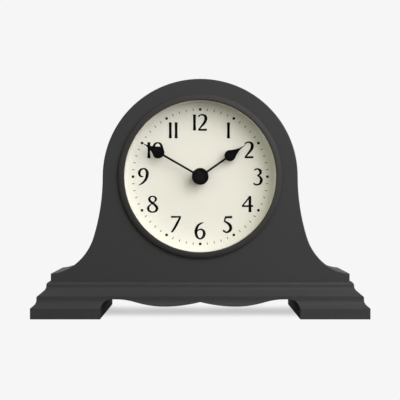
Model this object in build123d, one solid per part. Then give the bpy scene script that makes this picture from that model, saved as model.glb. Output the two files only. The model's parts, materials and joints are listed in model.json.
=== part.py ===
from build123d import *
import math
import os

# A tambour mantel clock: a painted wooden case on a moulded plinth, a round dial behind glass and a
# battery quartz movement behind the dial. Millimetres, +Z up. The dial faces -Y, and the origin is on
# the shelf under the middle of the case.

# Case
CASE_WIDTH = 260.6
CASE_DEPTH = 56.0
ARCH_RADIUS = 85.2
DIAL_RISE = 91.4
LIP_HEIGHT = 6.5
FLARE_RADIUS = 182.0
FLARE_TURN = 17.0
SWEEP_RADIUS = 48.0
SWEEP_TURN = 33.0
CASE_EDGE_ROUND = 1.0
REAR_OPENING = 56.0

# Plinth: an ogee moulding on a coved base with two feet and a shaped apron
MOULDING_HEIGHT = 12.4
MOULDING_PROJECTION = 10.25
OVOLO_RADIUS = 3.4
OVOLO_FACE = 0.6
HOLLOW_RADIUS = 5.0
BASE_HEIGHT = 18.5
BASE_BAND = 2.7
COVE_RADIUS = 5.9
COVE_PROJECTION = 4.45
FOOT_FACE = 9.2
FOOT_LENGTH = 59.7
FOOT_ARCH_RADIUS = 8.8
CREST_HEIGHT = 16.4
CREST_FLAT = 4.5
LOBE_HEIGHT = 10.6
LOBE_PLACE = 30.5
CUSP_HEIGHT = 14.1
OGEE_SHARE = 0.37

# Felt pads, wood screws and dowels
PAD_THICKNESS = 0.8
PAD_RADIUS = 11.0
PAD_INSET = 19.0
SCREW_ROW = 14.0
SCREW_RADIUS = 2.0
SCREW_LENGTH = 30.0
SCREW_HEAD_RADIUS = 4.0
SCREW_HEAD_HEIGHT = 2.4
SCREW_HEAD_CHAMFER = 0.8
SCREW_SINK = 4.4
SCREW_SLOT = 1.0
DOWEL_PLACE = 100.0
DOWEL_RADIUS = 4.0
DOWEL_DEPTH = 9.5
DOWEL_CHAMFER = 0.8

# Bezel, glass and dial
BEZEL_OPENING = 66.0
BEZEL_PROUD = 4.0
BEZEL_LIP = 2.0
BEZEL_EDGE_ROUND = 0.7
BEZEL_SIDE = 2.0
BEZEL_WALL = 1.5
BEZEL_FLANGE = 1.8
BEZEL_SKIRT = 7.0
GLASS_LAP = 1.8
GLASS_THICKNESS = 2.0
SPACER_WALL = 1.4
DIAL_DEPTH = 12.5
DIAL_THICKNESS = 1.2

# Hands, on a clock that shows ten to two
HOUR_TIP = 48.2
HOUR_BULB_PLACE = 32.1
HOUR_BULB_RADIUS = 4.95
MINUTE_TIP = 59.4
MINUTE_BULB_PLACE = 42.3
MINUTE_BULB_RADIUS = 5.2
HOUR_ANGLE = 55.0
MINUTE_ANGLE = 300.0
HAND_STEM = 1.8
HAND_TIP_WIDTH = 0.5
HAND_THICKNESS = 0.5
BULB_BREAK = 33.0
HAND_HUB_WALL = 2.0
CAP_RADIUS = 7.4
CAP_HEIGHT = 2.4
CAP_CHAMFER = 0.5

# Centre fixing through the dial
BUSH_RADIUS = 4.0
BUSH_FLANGE_RADIUS = 6.0
BUSH_FLANGE_THICKNESS = 0.8
BUSH_REACH = 4.2
NUT_ACROSS_FLATS = 11.0
NUT_HEIGHT = 2.4
WASHER_RADIUS = 6.4
WASHER_THICKNESS = 0.5
GASKET_RADIUS = 9.0
GASKET_THICKNESS = 0.8
HOUR_PIPE_RADIUS = 2.6
HOUR_PIPE_REACH = 6.0
MINUTE_ARBOR_RADIUS = 1.6
MINUTE_ARBOR_REACH = 9.2
HOUR_HAND_REACH = 5.1
MINUTE_HAND_REACH = 7.1

# Movement housing
MOVEMENT_SIZE = 56.0
MOVEMENT_DEPTH = 16.0
SHELL_WALL = 1.2
SHELL_CORNER = 3.0
COVER_THICKNESS = 1.4
PLATE_THICKNESS = 1.0
PLATE_CORNER = 2.0
PLATE_MARGIN = 0.6
POST_RADIUS = 1.2
TAB_WIDTH = 5.0
TAB_LENGTH = 2.2
TAB_THICKNESS = 0.8
CLIP_WIDTH = 3.0
CLIP_HEIGHT = 0.9
CLIP_PROUD = 0.7
NOTCH_WIDTH = 18.0
NOTCH_DEPTH = 6.0
NOTCH_CORNER = 3.0

# Wheel train
MOTION_MODULE = 0.4
TRAIN_MODULE = 0.3
WHEEL_THICKNESS = 0.9
LAYER_GAP = 0.45
ARBOR_RADIUS = 0.6
CENTRE_HUB_RADIUS = 1.4
HUB_WALL = 0.8
PIVOT_DEPTH = 0.6
TOOTH_ADDENDUM = 0.9
TOOTH_DEDENDUM = 1.2
TOOTH_PLAY = 0.2
TIP_SLOPE = 0.45
ROOT_SPREAD = 1.1
HOUR_TEETH = 48
MOTION_PINION = 12
MOTION_TEETH = 45
CANNON_TEETH = 15
SETTING_TEETH = 12
CENTRE_TEETH = 64
THIRD_PINION = 8
THIRD_TEETH = 60
SECONDS_PINION = 8
SECONDS_TEETH = 50
INTERMEDIATE_PINION = 10
INTERMEDIATE_TEETH = 48
ROTOR_PINION = 8
MOTION_BEARING = -4.0
SETTING_BEARING = -32.0
THIRD_BEARING = 150.0
SECONDS_BEARING = 38.0
INTERMEDIATE_BEARING = -20.0
ROTOR_BEARING = 20.0
KNOB_RADIUS = 5.2
KNOB_HEIGHT = 3.0
KNOB_SHAFT_RADIUS = 1.5
KNOB_GAP = 0.4
KNOB_RECESS = 0.5
KNOB_FLUTES = 24
KNOB_FLUTE_DEPTH = 0.4

# Order of the wheel layers from the dial to the bearing plate
HOUR_LAYER = 0
MOTION_LAYER = 1
CENTRE_LAYER = 2
THIRD_LAYER = 3
SECONDS_LAYER = 4
INTERMEDIATE_LAYER = 5
PLATE_LAYER = 6

# Stepping motor and electronics
MAGNET_RADIUS = 2.4
MAGNET_LENGTH = 2.6
STATOR_THICKNESS = 0.9
STATOR_WIDTH = 8.0
STATOR_LENGTH = 23.5
STATOR_BELOW_ROTOR = 9.0
STATOR_ARM_WIDTH = 3.0
ROTOR_AIR_GAP = 0.6
COIL_OFFSET = 8.2
CORE_WIDTH = 3.0
CORE_THICKNESS = 1.0
BOBBIN_FLANGE = 6.6
BOBBIN_WALL = 0.8
WINDING_RADIUS = 2.9
BOARD_WIDTH = 6.4
BOARD_LENGTH = 34.0
BOARD_THICKNESS = 1.0
BOARD_DEPTH = 8.0
CHIP_RADIUS = 1.8
CHIP_HEIGHT = 0.9
CHIP_CHAMFER = 0.4
CRYSTAL_RADIUS = 1.0
CRYSTAL_LENGTH = 6.0

# Battery and its contacts
BATTERY_RADIUS = 7.25
BATTERY_LENGTH = 50.5
BATTERY_BUTTON_RADIUS = 2.75
BATTERY_BUTTON = 1.2
BATTERY_CHAMFER = 0.6
CONTACT_THICKNESS = 0.4
CONTACT_WIDTH = 9.0

# Clearances
RUNNING_FIT = 0.08
PIVOT_FIT = 0.05
PRESS_FIT = 0.02
SEAT_PLAY = 0.1
GLASS_PLAY = 0.2
DIAL_PLAY = 0.4
CORE_PLAY = 0.05
BATTERY_PLAY = 0.15
SCREW_PLAY = 0.2
DOWEL_END_PLAY = 0.5

# Heights, from the shelf up
BASE_BOTTOM = PAD_THICKNESS
BASE_TOP = BASE_BOTTOM + BASE_HEIGHT
CASE_BOTTOM = BASE_TOP + MOULDING_HEIGHT
DIAL_Z = CASE_BOTTOM + DIAL_RISE

# Plan sizes of the plinth
MOULDING_WIDTH = CASE_WIDTH + 2 * MOULDING_PROJECTION
MOULDING_DEPTH = CASE_DEPTH + 2 * MOULDING_PROJECTION
BASE_WIDTH = MOULDING_WIDTH + 2 * COVE_PROJECTION
BASE_DEPTH = MOULDING_DEPTH + 2 * COVE_PROJECTION

# Depths, from the front of the case to its back
CASE_FRONT = -CASE_DEPTH / 2
GLASS_FRONT = CASE_FRONT - BEZEL_PROUD + BEZEL_LIP
GLASS_BACK = GLASS_FRONT + GLASS_THICKNESS
DIAL_FRONT = CASE_FRONT + DIAL_DEPTH
DIAL_BACK = DIAL_FRONT + DIAL_THICKNESS
SHELL_FRONT = DIAL_BACK + GASKET_THICKNESS
SHELL_FLOOR = SHELL_FRONT + SHELL_WALL
COVER_BACK = SHELL_FRONT + MOVEMENT_DEPTH
COVER_FRONT = COVER_BACK - COVER_THICKNESS
TRAIN_FRONT = SHELL_FLOOR + BUSH_FLANGE_THICKNESS + LAYER_GAP
PIVOT_FRONT = SHELL_FLOOR - PIVOT_DEPTH


def layer(number):
    """Depth of the front of one of the wheel layers, counted from 0 behind the bush flange."""
    return TRAIN_FRONT + number * (WHEEL_THICKNESS + LAYER_GAP)


PLATE_FRONT = layer(PLATE_LAYER)
PLATE_BACK = PLATE_FRONT + PLATE_THICKNESS

# Radii of the dial fit
GLASS_RADIUS = BEZEL_OPENING + GLASS_LAP
SKIRT_INSIDE = GLASS_RADIUS + GLASS_PLAY
SKIRT_OUTSIDE = SKIRT_INSIDE + BEZEL_WALL
DIAL_BORE = SKIRT_OUTSIDE + SEAT_PLAY
DIAL_RADIUS = DIAL_BORE - DIAL_PLAY
BEZEL_RADIUS = DIAL_BORE + BEZEL_FLANGE

# Rooms inside the movement housing, measured from the hand axis
HALF = MOVEMENT_SIZE / 2
ROOM = HALF - SHELL_WALL
BAY_TOP = -ROOM + 2 * (BATTERY_RADIUS + BATTERY_PLAY)
TRAIN_BOTTOM = BAY_TOP + SHELL_WALL
BATTERY_V = -ROOM + BATTERY_PLAY + BATTERY_RADIUS
BATTERY_Y = SHELL_FLOOR + BATTERY_PLAY + BATTERY_RADIUS
BATTERY_RIGHT = ROOM - CONTACT_THICKNESS - 2 * SEAT_PLAY
BATTERY_LEFT = BATTERY_RIGHT - BATTERY_LENGTH


def polar(centre, distance, bearing):
    """Point at a distance and a bearing (degrees, anticlockwise seen from the front) from another."""
    angle = math.radians(bearing)
    return (centre[0] + distance * math.cos(angle), centre[1] + distance * math.sin(angle))


def centre_distance(teeth_a, teeth_b, module):
    return (teeth_a + teeth_b) * module / 2


# Arbors of the wheels, as points right of and above the hand axis
HAND_AXIS = (0.0, 0.0)
MOTION_AXIS = polar(HAND_AXIS, centre_distance(CANNON_TEETH, MOTION_TEETH, MOTION_MODULE), MOTION_BEARING)
SETTING_AXIS = polar(
    MOTION_AXIS, centre_distance(MOTION_TEETH, SETTING_TEETH, MOTION_MODULE), SETTING_BEARING
)
THIRD_AXIS = polar(HAND_AXIS, centre_distance(CENTRE_TEETH, THIRD_PINION, TRAIN_MODULE), THIRD_BEARING)
SECONDS_AXIS = polar(THIRD_AXIS, centre_distance(THIRD_TEETH, SECONDS_PINION, TRAIN_MODULE), SECONDS_BEARING)
INTERMEDIATE_AXIS = polar(
    SECONDS_AXIS, centre_distance(SECONDS_TEETH, INTERMEDIATE_PINION, TRAIN_MODULE), INTERMEDIATE_BEARING
)
ROTOR_AXIS = polar(
    INTERMEDIATE_AXIS, centre_distance(INTERMEDIATE_TEETH, ROTOR_PINION, TRAIN_MODULE), ROTOR_BEARING
)

# The hour wheel's module, so that its pair keeps the motion work's centre distance
HOUR_MODULE = (CANNON_TEETH + MOTION_TEETH) * MOTION_MODULE / (HOUR_TEETH + MOTION_PINION)


def front_plane(depth, height=DIAL_Z):
    """Plane at a depth, drawn on as seen from the front, with its origin on the hand axis."""
    return Plane((0, depth, height), x_dir=(1, 0, 0), z_dir=(0, -1, 0))


def slab(section, front, back, height=DIAL_Z):
    """Solid of a front-view section between two depths."""
    return extrude(front_plane(back, height) * section, back - front)


def disc(radius, front, back, centre=HAND_AXIS):
    return slab(Pos(*centre) * Circle(radius), front, back)


def ring(outside, inside, front, back, centre=HAND_AXIS):
    return slab(Pos(*centre) * (Circle(outside) - Circle(inside)), front, back)


def block(left, right, bottom, top, front, back):
    """Box between two places on each axis, seen from the front and measured from the hand axis."""
    middle = ((left + right) / 2, (bottom + top) / 2)
    return slab(Pos(*middle) * Rectangle(right - left, top - bottom), front, back)


def turned(edges):
    """Solid of revolution about the hand axis. The section holds radii and depths."""
    section = make_face(edges)
    return revolve(Plane((0, 0, DIAL_Z)) * section, Axis((0, 0, DIAL_Z), (0, 1, 0)))


def both_sides(edges):
    """Edges of the right half of a symmetrical outline with their mirror images."""
    return edges + [mirror(edge, about=Plane.YZ) for edge in edges]


def case_outline():
    """Front view of the case: a round arch whose sides flare out in three arcs to a low lip."""
    turn = math.radians(FLARE_TURN)
    flare_centre = (ARCH_RADIUS + FLARE_RADIUS, DIAL_Z)
    waist = polar(flare_centre, FLARE_RADIUS, 180 + FLARE_TURN)
    lip_top = (CASE_WIDTH / 2, CASE_BOTTOM + LIP_HEIGHT)
    lip_bottom = (CASE_WIDTH / 2, CASE_BOTTOM)
    sweep = JernArc(waist, (math.sin(turn), -math.cos(turn)), SWEEP_RADIUS, SWEEP_TURN)
    side = [
        CenterArc(flare_centre, FLARE_RADIUS, 180, FLARE_TURN),
        sweep,
        TangentArc(sweep @ 1, lip_top, tangent=sweep % 1),
        Line(lip_top, lip_bottom),
        Line(lip_bottom, (0, CASE_BOTTOM)),
    ]
    arch = CenterArc((0, DIAL_Z), ARCH_RADIUS, 0, 180)
    return make_face([arch] + both_sides(side))


def screw_places():
    return [(x, y) for x in (-LOBE_PLACE, LOBE_PLACE) for y in (-SCREW_ROW, SCREW_ROW)]


def dowel_places():
    return [(-DOWEL_PLACE, 0), (DOWEL_PLACE, 0)]


def pins(places, radius, bottom, top):
    """Upright round pins, or the holes for them, at places in plan."""
    pin = Cylinder(radius, top - bottom, align=(Align.CENTER, Align.CENTER, Align.MIN))
    return [Pos(x, y, bottom) * pin for x, y in places]


LOBE_BOTTOM = BASE_BOTTOM + LOBE_HEIGHT
SCREW_SEAT = LOBE_BOTTOM + SCREW_SINK
SCREW_TIP = SCREW_SEAT + SCREW_LENGTH


def case_body():
    case = slab(case_outline(), CASE_FRONT, -CASE_FRONT, height=0)
    rims = [case.faces().sort_by(Axis.Y)[end].outer_wire().edges() for end in (0, -1)]
    foot = CASE_BOTTOM + LIP_HEIGHT / 2
    sharp = [edge for rim in rims for edge in rim if edge.center().Z > foot]
    case = fillet(sharp, CASE_EDGE_ROUND)
    case -= disc(DIAL_BORE, CASE_FRONT, DIAL_BACK)
    case -= disc(REAR_OPENING, DIAL_BACK, -CASE_FRONT)
    case -= pins(screw_places(), SCREW_RADIUS + PRESS_FIT, CASE_BOTTOM, SCREW_TIP + DOWEL_END_PLAY)
    dowel_top = CASE_BOTTOM + DOWEL_DEPTH + DOWEL_END_PLAY
    case -= pins(dowel_places(), DOWEL_RADIUS + PRESS_FIT, CASE_BOTTOM, dowel_top)
    return case


def moulded_block(profile, width, depth):
    """Block whose rectangular plan grows by the profile on all four sides, with mitred corners."""

    def across(size):
        edges = profile(size / 2)
        ends = [edges[0] @ 0, edges[-1] @ 1]
        closing = [Line(end, (0, end.Y)) for end in ends]
        return make_face(both_sides(edges + closing))

    lengthwise = extrude(Plane.XZ * across(width), BASE_DEPTH, both=True)
    crosswise = extrude(Plane.YZ * across(depth), BASE_WIDTH, both=True)
    return lengthwise & crosswise


def hollow(top, toe, radius):
    """Hollow that starts straight down at its top and runs out in a straight slope to its toe."""
    centre = top + (radius, 0)
    reach = toe - centre
    lean = math.asin(radius / reach.length)
    turn = 90 + math.degrees(math.atan2(reach.Y, reach.X) + lean)
    arc = JernArc(top, (0, -1), radius, turn)
    return [arc, Line(arc @ 1, toe)]


def moulding_profile(half):
    """Ogee from the case down: a quarter round with a short face, then a hollow that runs out to the base."""
    shoulder = Vector(half + OVOLO_RADIUS, CASE_BOTTOM - OVOLO_RADIUS)
    face_end = shoulder - (0, OVOLO_FACE)
    toe = Vector(half + MOULDING_PROJECTION, BASE_TOP)
    return [
        JernArc((half, CASE_BOTTOM), (1, 0), OVOLO_RADIUS, -90),
        Line(shoulder, face_end),
        *hollow(face_end, toe, HOLLOW_RADIUS),
    ]


def base_profile(half):
    """A flat band, then a cove that runs out to the upright face of the feet."""
    band_end = Vector(half, BASE_TOP - BASE_BAND)
    foot_top = Vector(half + COVE_PROJECTION, BASE_BOTTOM + FOOT_FACE)
    return [
        Line((half, BASE_TOP), band_end),
        *hollow(band_end, foot_top, COVE_RADIUS),
        Line(foot_top, (foot_top.X, BASE_BOTTOM)),
    ]


def apron_gap():
    """Front view of the gap under the base: arched at the feet, with two lobes and a cusp above."""
    foot = BASE_WIDTH / 2 - FOOT_LENGTH
    crest = BASE_BOTTOM + CREST_HEIGHT
    arch_foot = (foot, crest - FOOT_ARCH_RADIUS)
    arch_top = (foot - FOOT_ARCH_RADIUS, crest)
    crest_end = Vector(arch_top[0] - CREST_FLAT, crest)
    lobe = Vector(LOBE_PLACE, LOBE_BOTTOM)
    bend = crest_end + (lobe - crest_end) * OGEE_SHARE
    side = [
        Line((0, 0), (foot, 0)),
        Line((foot, 0), arch_foot),
        JernArc(arch_foot, (0, 1), FOOT_ARCH_RADIUS, 90),
        Line(arch_top, crest_end),
        TangentArc(crest_end, bend, tangent=(-1, 0)),
        TangentArc(lobe, bend, tangent=(1, 0)),
        TangentArc(lobe, (0, BASE_BOTTOM + CUSP_HEIGHT), tangent=(-1, 0)),
    ]
    return make_face(both_sides(side))


def plinth_moulding():
    moulding = moulded_block(moulding_profile, CASE_WIDTH, CASE_DEPTH)
    moulding -= pins(screw_places(), SCREW_RADIUS + SCREW_PLAY, BASE_TOP, CASE_BOTTOM)
    dowel_bottom = CASE_BOTTOM - DOWEL_DEPTH - DOWEL_END_PLAY
    moulding -= pins(dowel_places(), DOWEL_RADIUS + PRESS_FIT, dowel_bottom, CASE_BOTTOM)
    return moulding


def base_board():
    base = moulded_block(base_profile, MOULDING_WIDTH, MOULDING_DEPTH)
    base -= slab(apron_gap(), -BASE_DEPTH, BASE_DEPTH, height=0)
    base -= pins(screw_places(), SCREW_HEAD_RADIUS + SCREW_PLAY, BASE_BOTTOM, SCREW_SEAT)
    base -= pins(screw_places(), SCREW_RADIUS + SCREW_PLAY, BASE_BOTTOM, BASE_TOP)
    return base


def foot_pads():
    across = BASE_WIDTH / 2 - FOOT_LENGTH / 2
    along = BASE_DEPTH / 2 - PAD_INSET
    places = [(x, y) for x in (-across, across) for y in (-along, along)]
    return pins(places, PAD_RADIUS, 0, PAD_THICKNESS)


def case_screws():
    """Slotted round-head wood screws, head down in their counterbores."""
    head_bottom = SCREW_SEAT - SCREW_HEAD_HEIGHT
    head = pins([(0, 0)], SCREW_HEAD_RADIUS, head_bottom, SCREW_SEAT)[0]
    head = chamfer(head.edges().sort_by(Axis.Z)[0], SCREW_HEAD_CHAMFER)
    slot_depth = SCREW_HEAD_HEIGHT / 2
    head -= Pos(0, 0, head_bottom + slot_depth / 2) * Box(2 * SCREW_HEAD_RADIUS, SCREW_SLOT, slot_depth)
    point = SCREW_TIP - 2 * SCREW_RADIUS
    shank = pins([(0, 0)], SCREW_RADIUS, SCREW_SEAT, point)[0]
    shank += Pos(0, 0, (point + SCREW_TIP) / 2) * Cone(SCREW_RADIUS, PRESS_FIT, SCREW_TIP - point)
    return [Pos(x, y) * (head + shank) for x, y in screw_places()]


def locating_dowels():
    dowel = pins([(0, 0)], DOWEL_RADIUS, CASE_BOTTOM - DOWEL_DEPTH, CASE_BOTTOM + DOWEL_DEPTH)[0]
    dowel = chamfer(dowel.edges().filter_by(GeomType.CIRCLE), DOWEL_CHAMFER)
    return [Pos(x, y) * dowel for x, y in dowel_places()]


def bezel_ring():
    """Ring with a domed front, an upright outer side, a lip over the glass and a skirt in the case."""
    crown = CASE_FRONT - BEZEL_PROUD
    skirt_back = CASE_FRONT + BEZEL_SKIRT
    lip_edge = (BEZEL_OPENING, crown + BEZEL_EDGE_ROUND)
    crown_edge = (BEZEL_OPENING + BEZEL_EDGE_ROUND, crown)
    side_top = (BEZEL_RADIUS, CASE_FRONT - BEZEL_SIDE)
    brow = (BEZEL_RADIUS - BEZEL_EDGE_ROUND, side_top[1] - BEZEL_EDGE_ROUND)
    dome = TangentArc(crown_edge, brow, tangent=(1, 0))
    return turned(
        [
            Line((BEZEL_OPENING, GLASS_FRONT), lip_edge),
            TangentArc(lip_edge, crown_edge, tangent=(0, -1)),
            dome,
            TangentArc(brow, side_top, tangent=dome % 1),
            Polyline(
                side_top,
                (BEZEL_RADIUS, CASE_FRONT),
                (SKIRT_OUTSIDE, CASE_FRONT),
                (SKIRT_OUTSIDE, skirt_back),
                (SKIRT_INSIDE, skirt_back),
                (SKIRT_INSIDE, GLASS_FRONT),
                (BEZEL_OPENING, GLASS_FRONT),
            ),
        ]
    )


def glass_lens():
    return disc(GLASS_RADIUS, GLASS_FRONT, GLASS_BACK)


def dial_spacer():
    return ring(GLASS_RADIUS, GLASS_RADIUS - SPACER_WALL, GLASS_BACK, DIAL_FRONT)


def dial_plate():
    return ring(DIAL_RADIUS, BUSH_RADIUS + GLASS_PLAY, DIAL_FRONT, DIAL_BACK)


def spade_hand(tip, bulb_place, bulb_radius, bore, reach, angle):
    """Hand with a thin stem, a round bulb and a hollow taper to its tip, turned to a clock angle."""
    shoulder = polar((0, bulb_place), bulb_radius, BULB_BREAK)
    lean = math.radians(BULB_BREAK)
    point = (HAND_TIP_WIDTH / 2, tip)
    taper = [
        Line((0, bulb_place), shoulder),
        TangentArc(shoulder, point, tangent=(-math.sin(lean), math.cos(lean))),
        Line(point, (0, tip)),
    ]
    hand = make_face(both_sides(taper))
    hand += Pos(0, bulb_place) * Circle(bulb_radius)
    hand += Pos(0, bulb_place / 2) * Rectangle(HAND_STEM, bulb_place)
    hand += Circle(bore + HAND_HUB_WALL)
    hand -= Circle(bore)
    front = DIAL_FRONT - reach
    return slab(Rot(0, 0, -angle) * hand, front - HAND_THICKNESS, front)


def hour_hand():
    bore = HOUR_PIPE_RADIUS + PRESS_FIT
    return spade_hand(HOUR_TIP, HOUR_BULB_PLACE, HOUR_BULB_RADIUS, bore, HOUR_HAND_REACH, HOUR_ANGLE)


def minute_hand():
    bore = MINUTE_ARBOR_RADIUS + PRESS_FIT
    return spade_hand(
        MINUTE_TIP, MINUTE_BULB_PLACE, MINUTE_BULB_RADIUS, bore, MINUTE_HAND_REACH, MINUTE_ANGLE
    )


def hand_cap():
    """Round cap on the end of the minute arbor, closed in front."""
    back = DIAL_FRONT - MINUTE_HAND_REACH - HAND_THICKNESS
    front = back - CAP_HEIGHT
    cap = disc(CAP_RADIUS, front, back)
    cap = chamfer(cap.edges().sort_by(Axis.Y)[0], CAP_CHAMFER)
    bore = MINUTE_ARBOR_RADIUS + PRESS_FIT
    return cap - disc(bore, DIAL_FRONT - MINUTE_ARBOR_REACH - SEAT_PLAY, back)


def threaded_bush():
    bore = HOUR_PIPE_RADIUS + RUNNING_FIT
    flange_back = SHELL_FLOOR + BUSH_FLANGE_THICKNESS
    bush = disc(BUSH_RADIUS, DIAL_FRONT - BUSH_REACH, flange_back)
    bush += disc(BUSH_FLANGE_RADIUS, SHELL_FLOOR, flange_back)
    return bush - disc(bore, DIAL_FRONT - BUSH_REACH, flange_back)


def nut_washer():
    return ring(WASHER_RADIUS, BUSH_RADIUS + SEAT_PLAY, DIAL_FRONT - WASHER_THICKNESS, DIAL_FRONT)


def hex_nut():
    back = DIAL_FRONT - WASHER_THICKNESS
    corner = NUT_ACROSS_FLATS / math.sqrt(3)
    section = RegularPolygon(corner, 6) - Circle(BUSH_RADIUS + PRESS_FIT)
    return slab(section, back - NUT_HEIGHT, back)


def rubber_gasket():
    return ring(GASKET_RADIUS, BUSH_RADIUS + SEAT_PLAY, DIAL_BACK, SHELL_FRONT)


def gear_section(teeth, module, phase):
    """Straight-flanked gear outline. A tooth points at the phase angle (degrees)."""
    pitch = teeth * module / 2
    tip = pitch + TOOTH_ADDENDUM * module
    root = pitch - TOOTH_DEDENDUM * module
    half_tooth = math.pi * module / 4 - TOOTH_PLAY * module / 2
    root_angle = ROOT_SPREAD * half_tooth / pitch
    tip_angle = (half_tooth - TOOTH_ADDENDUM * module * TIP_SLOPE) / tip
    corners = [(root, -root_angle), (tip, -tip_angle), (tip, tip_angle), (root, root_angle)]
    outline = []
    for tooth in range(teeth):
        middle = math.radians(phase + 360 * tooth / teeth)
        for radius, offset in corners:
            outline.append((radius * math.cos(middle + offset), radius * math.sin(middle + offset)))
    return Polygon(*outline, align=None)


def gear(teeth, module, phase, centre, front, back):
    return slab(Pos(*centre) * gear_section(teeth, module, phase), front, back)


def meshed(teeth, phase, other_teeth, bearing):
    """Phase at which another wheel, at a bearing from this one, has a gap where this one has a tooth."""
    return bearing + 180 - (teeth * (phase - bearing) + 180) / other_teeth


def arbor(centre, radius=ARBOR_RADIUS):
    """Round arbor that runs from its pivot hole in the shell to its pivot hole in the bearing plate."""
    return disc(radius, PIVOT_FRONT + SEAT_PLAY, PLATE_BACK, centre)


def train_wheel(centre, pinion, pinion_phase, teeth, front):
    """Moulded wheel whose teeth start at a depth, with a pinion in the layer before it, on one arbor."""
    part = arbor(centre)
    part += gear(pinion, TRAIN_MODULE, pinion_phase, centre, front - WHEEL_THICKNESS - LAYER_GAP, front)
    part += gear(teeth, TRAIN_MODULE, 0, centre, front, front + WHEEL_THICKNESS)
    return part


# Phases that put every pair in mesh at rest, from the cannon pinion and the centre wheel outwards
MOTION_PHASE = meshed(CANNON_TEETH, 0, MOTION_TEETH, MOTION_BEARING)
SETTING_PHASE = meshed(MOTION_TEETH, MOTION_PHASE, SETTING_TEETH, SETTING_BEARING)
HOUR_PHASE = meshed(MOTION_PINION, 0, HOUR_TEETH, MOTION_BEARING + 180)
THIRD_PHASE = meshed(CENTRE_TEETH, 0, THIRD_PINION, THIRD_BEARING)
SECONDS_PHASE = meshed(THIRD_TEETH, 0, SECONDS_PINION, SECONDS_BEARING)
INTERMEDIATE_PHASE = meshed(SECONDS_TEETH, 0, INTERMEDIATE_PINION, INTERMEDIATE_BEARING)
ROTOR_PHASE = meshed(INTERMEDIATE_TEETH, 0, ROTOR_PINION, ROTOR_BEARING)


def hour_wheel():
    """Wheel on a long pipe that carries the hour hand and turns round the minute arbor."""
    front = layer(HOUR_LAYER)
    back = front + WHEEL_THICKNESS
    wheel = gear(HOUR_TEETH, HOUR_MODULE, HOUR_PHASE, HAND_AXIS, front, back)
    wheel += disc(HOUR_PIPE_RADIUS, DIAL_FRONT - HOUR_PIPE_REACH, back)
    return wheel - disc(MINUTE_ARBOR_RADIUS + RUNNING_FIT, DIAL_FRONT - HOUR_PIPE_REACH, back)


def minute_arbor():
    """Arbor of the minute hand with its cannon pinion and the hub that the centre wheel slips on."""
    pinion_front = layer(MOTION_LAYER)
    pinion_back = pinion_front + WHEEL_THICKNESS
    hub_back = layer(CENTRE_LAYER) + WHEEL_THICKNESS + SEAT_PLAY
    part = disc(MINUTE_ARBOR_RADIUS, DIAL_FRONT - MINUTE_ARBOR_REACH, pinion_front)
    part += gear(CANNON_TEETH, MOTION_MODULE, 0, HAND_AXIS, pinion_front, pinion_back)
    part += disc(CENTRE_HUB_RADIUS, pinion_back, hub_back)
    part += disc(ARBOR_RADIUS, hub_back, PLATE_BACK)
    return part


def motion_wheel():
    """Wheel that the cannon pinion drives, with the pinion of the hour wheel in front of it."""
    front = layer(MOTION_LAYER)
    back = front + WHEEL_THICKNESS
    part = arbor(MOTION_AXIS)
    part += gear(MOTION_PINION, HOUR_MODULE, 0, MOTION_AXIS, layer(HOUR_LAYER), front)
    part += gear(MOTION_TEETH, MOTION_MODULE, MOTION_PHASE, MOTION_AXIS, front, back)
    return part


def setting_knob():
    """Fluted knob at the back of the movement, with the pinion that turns the hands on its shaft."""
    knob_front = COVER_BACK + KNOB_GAP
    knob_back = knob_front + KNOB_HEIGHT
    pinion_front = layer(MOTION_LAYER)
    pinion_back = pinion_front + WHEEL_THICKNESS
    part = disc(ARBOR_RADIUS, PIVOT_FRONT + SEAT_PLAY, pinion_front, SETTING_AXIS)
    part += gear(SETTING_TEETH, MOTION_MODULE, SETTING_PHASE, SETTING_AXIS, pinion_front, pinion_back)
    part += disc(KNOB_SHAFT_RADIUS, pinion_back, knob_front, SETTING_AXIS)
    pitch = 360 / KNOB_FLUTES
    outline = []
    for flute in range(KNOB_FLUTES):
        outline.append(polar(HAND_AXIS, KNOB_RADIUS, flute * pitch))
        outline.append(polar(HAND_AXIS, KNOB_RADIUS - KNOB_FLUTE_DEPTH, flute * pitch + pitch / 2))
    grip = Polygon(*outline, align=None)
    return part + slab(Pos(*SETTING_AXIS) * grip, knob_front, knob_back)


def centre_wheel():
    """Wheel that drives the minute arbor through the friction of its hub, so the hands can be set."""
    front = layer(CENTRE_LAYER)
    back = front + WHEEL_THICKNESS
    wheel = gear(CENTRE_TEETH, TRAIN_MODULE, 0, HAND_AXIS, front, back)
    wheel += disc(CENTRE_HUB_RADIUS + HUB_WALL, front - LAYER_GAP + SEAT_PLAY, back)
    return wheel - disc(CENTRE_HUB_RADIUS + PIVOT_FIT, front - LAYER_GAP, back)


def third_wheel():
    return train_wheel(THIRD_AXIS, THIRD_PINION, THIRD_PHASE, THIRD_TEETH, layer(THIRD_LAYER))


def seconds_wheel():
    return train_wheel(SECONDS_AXIS, SECONDS_PINION, SECONDS_PHASE, SECONDS_TEETH, layer(SECONDS_LAYER))


def intermediate_wheel():
    front = layer(INTERMEDIATE_LAYER)
    return train_wheel(INTERMEDIATE_AXIS, INTERMEDIATE_PINION, INTERMEDIATE_PHASE, INTERMEDIATE_TEETH, front)


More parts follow.
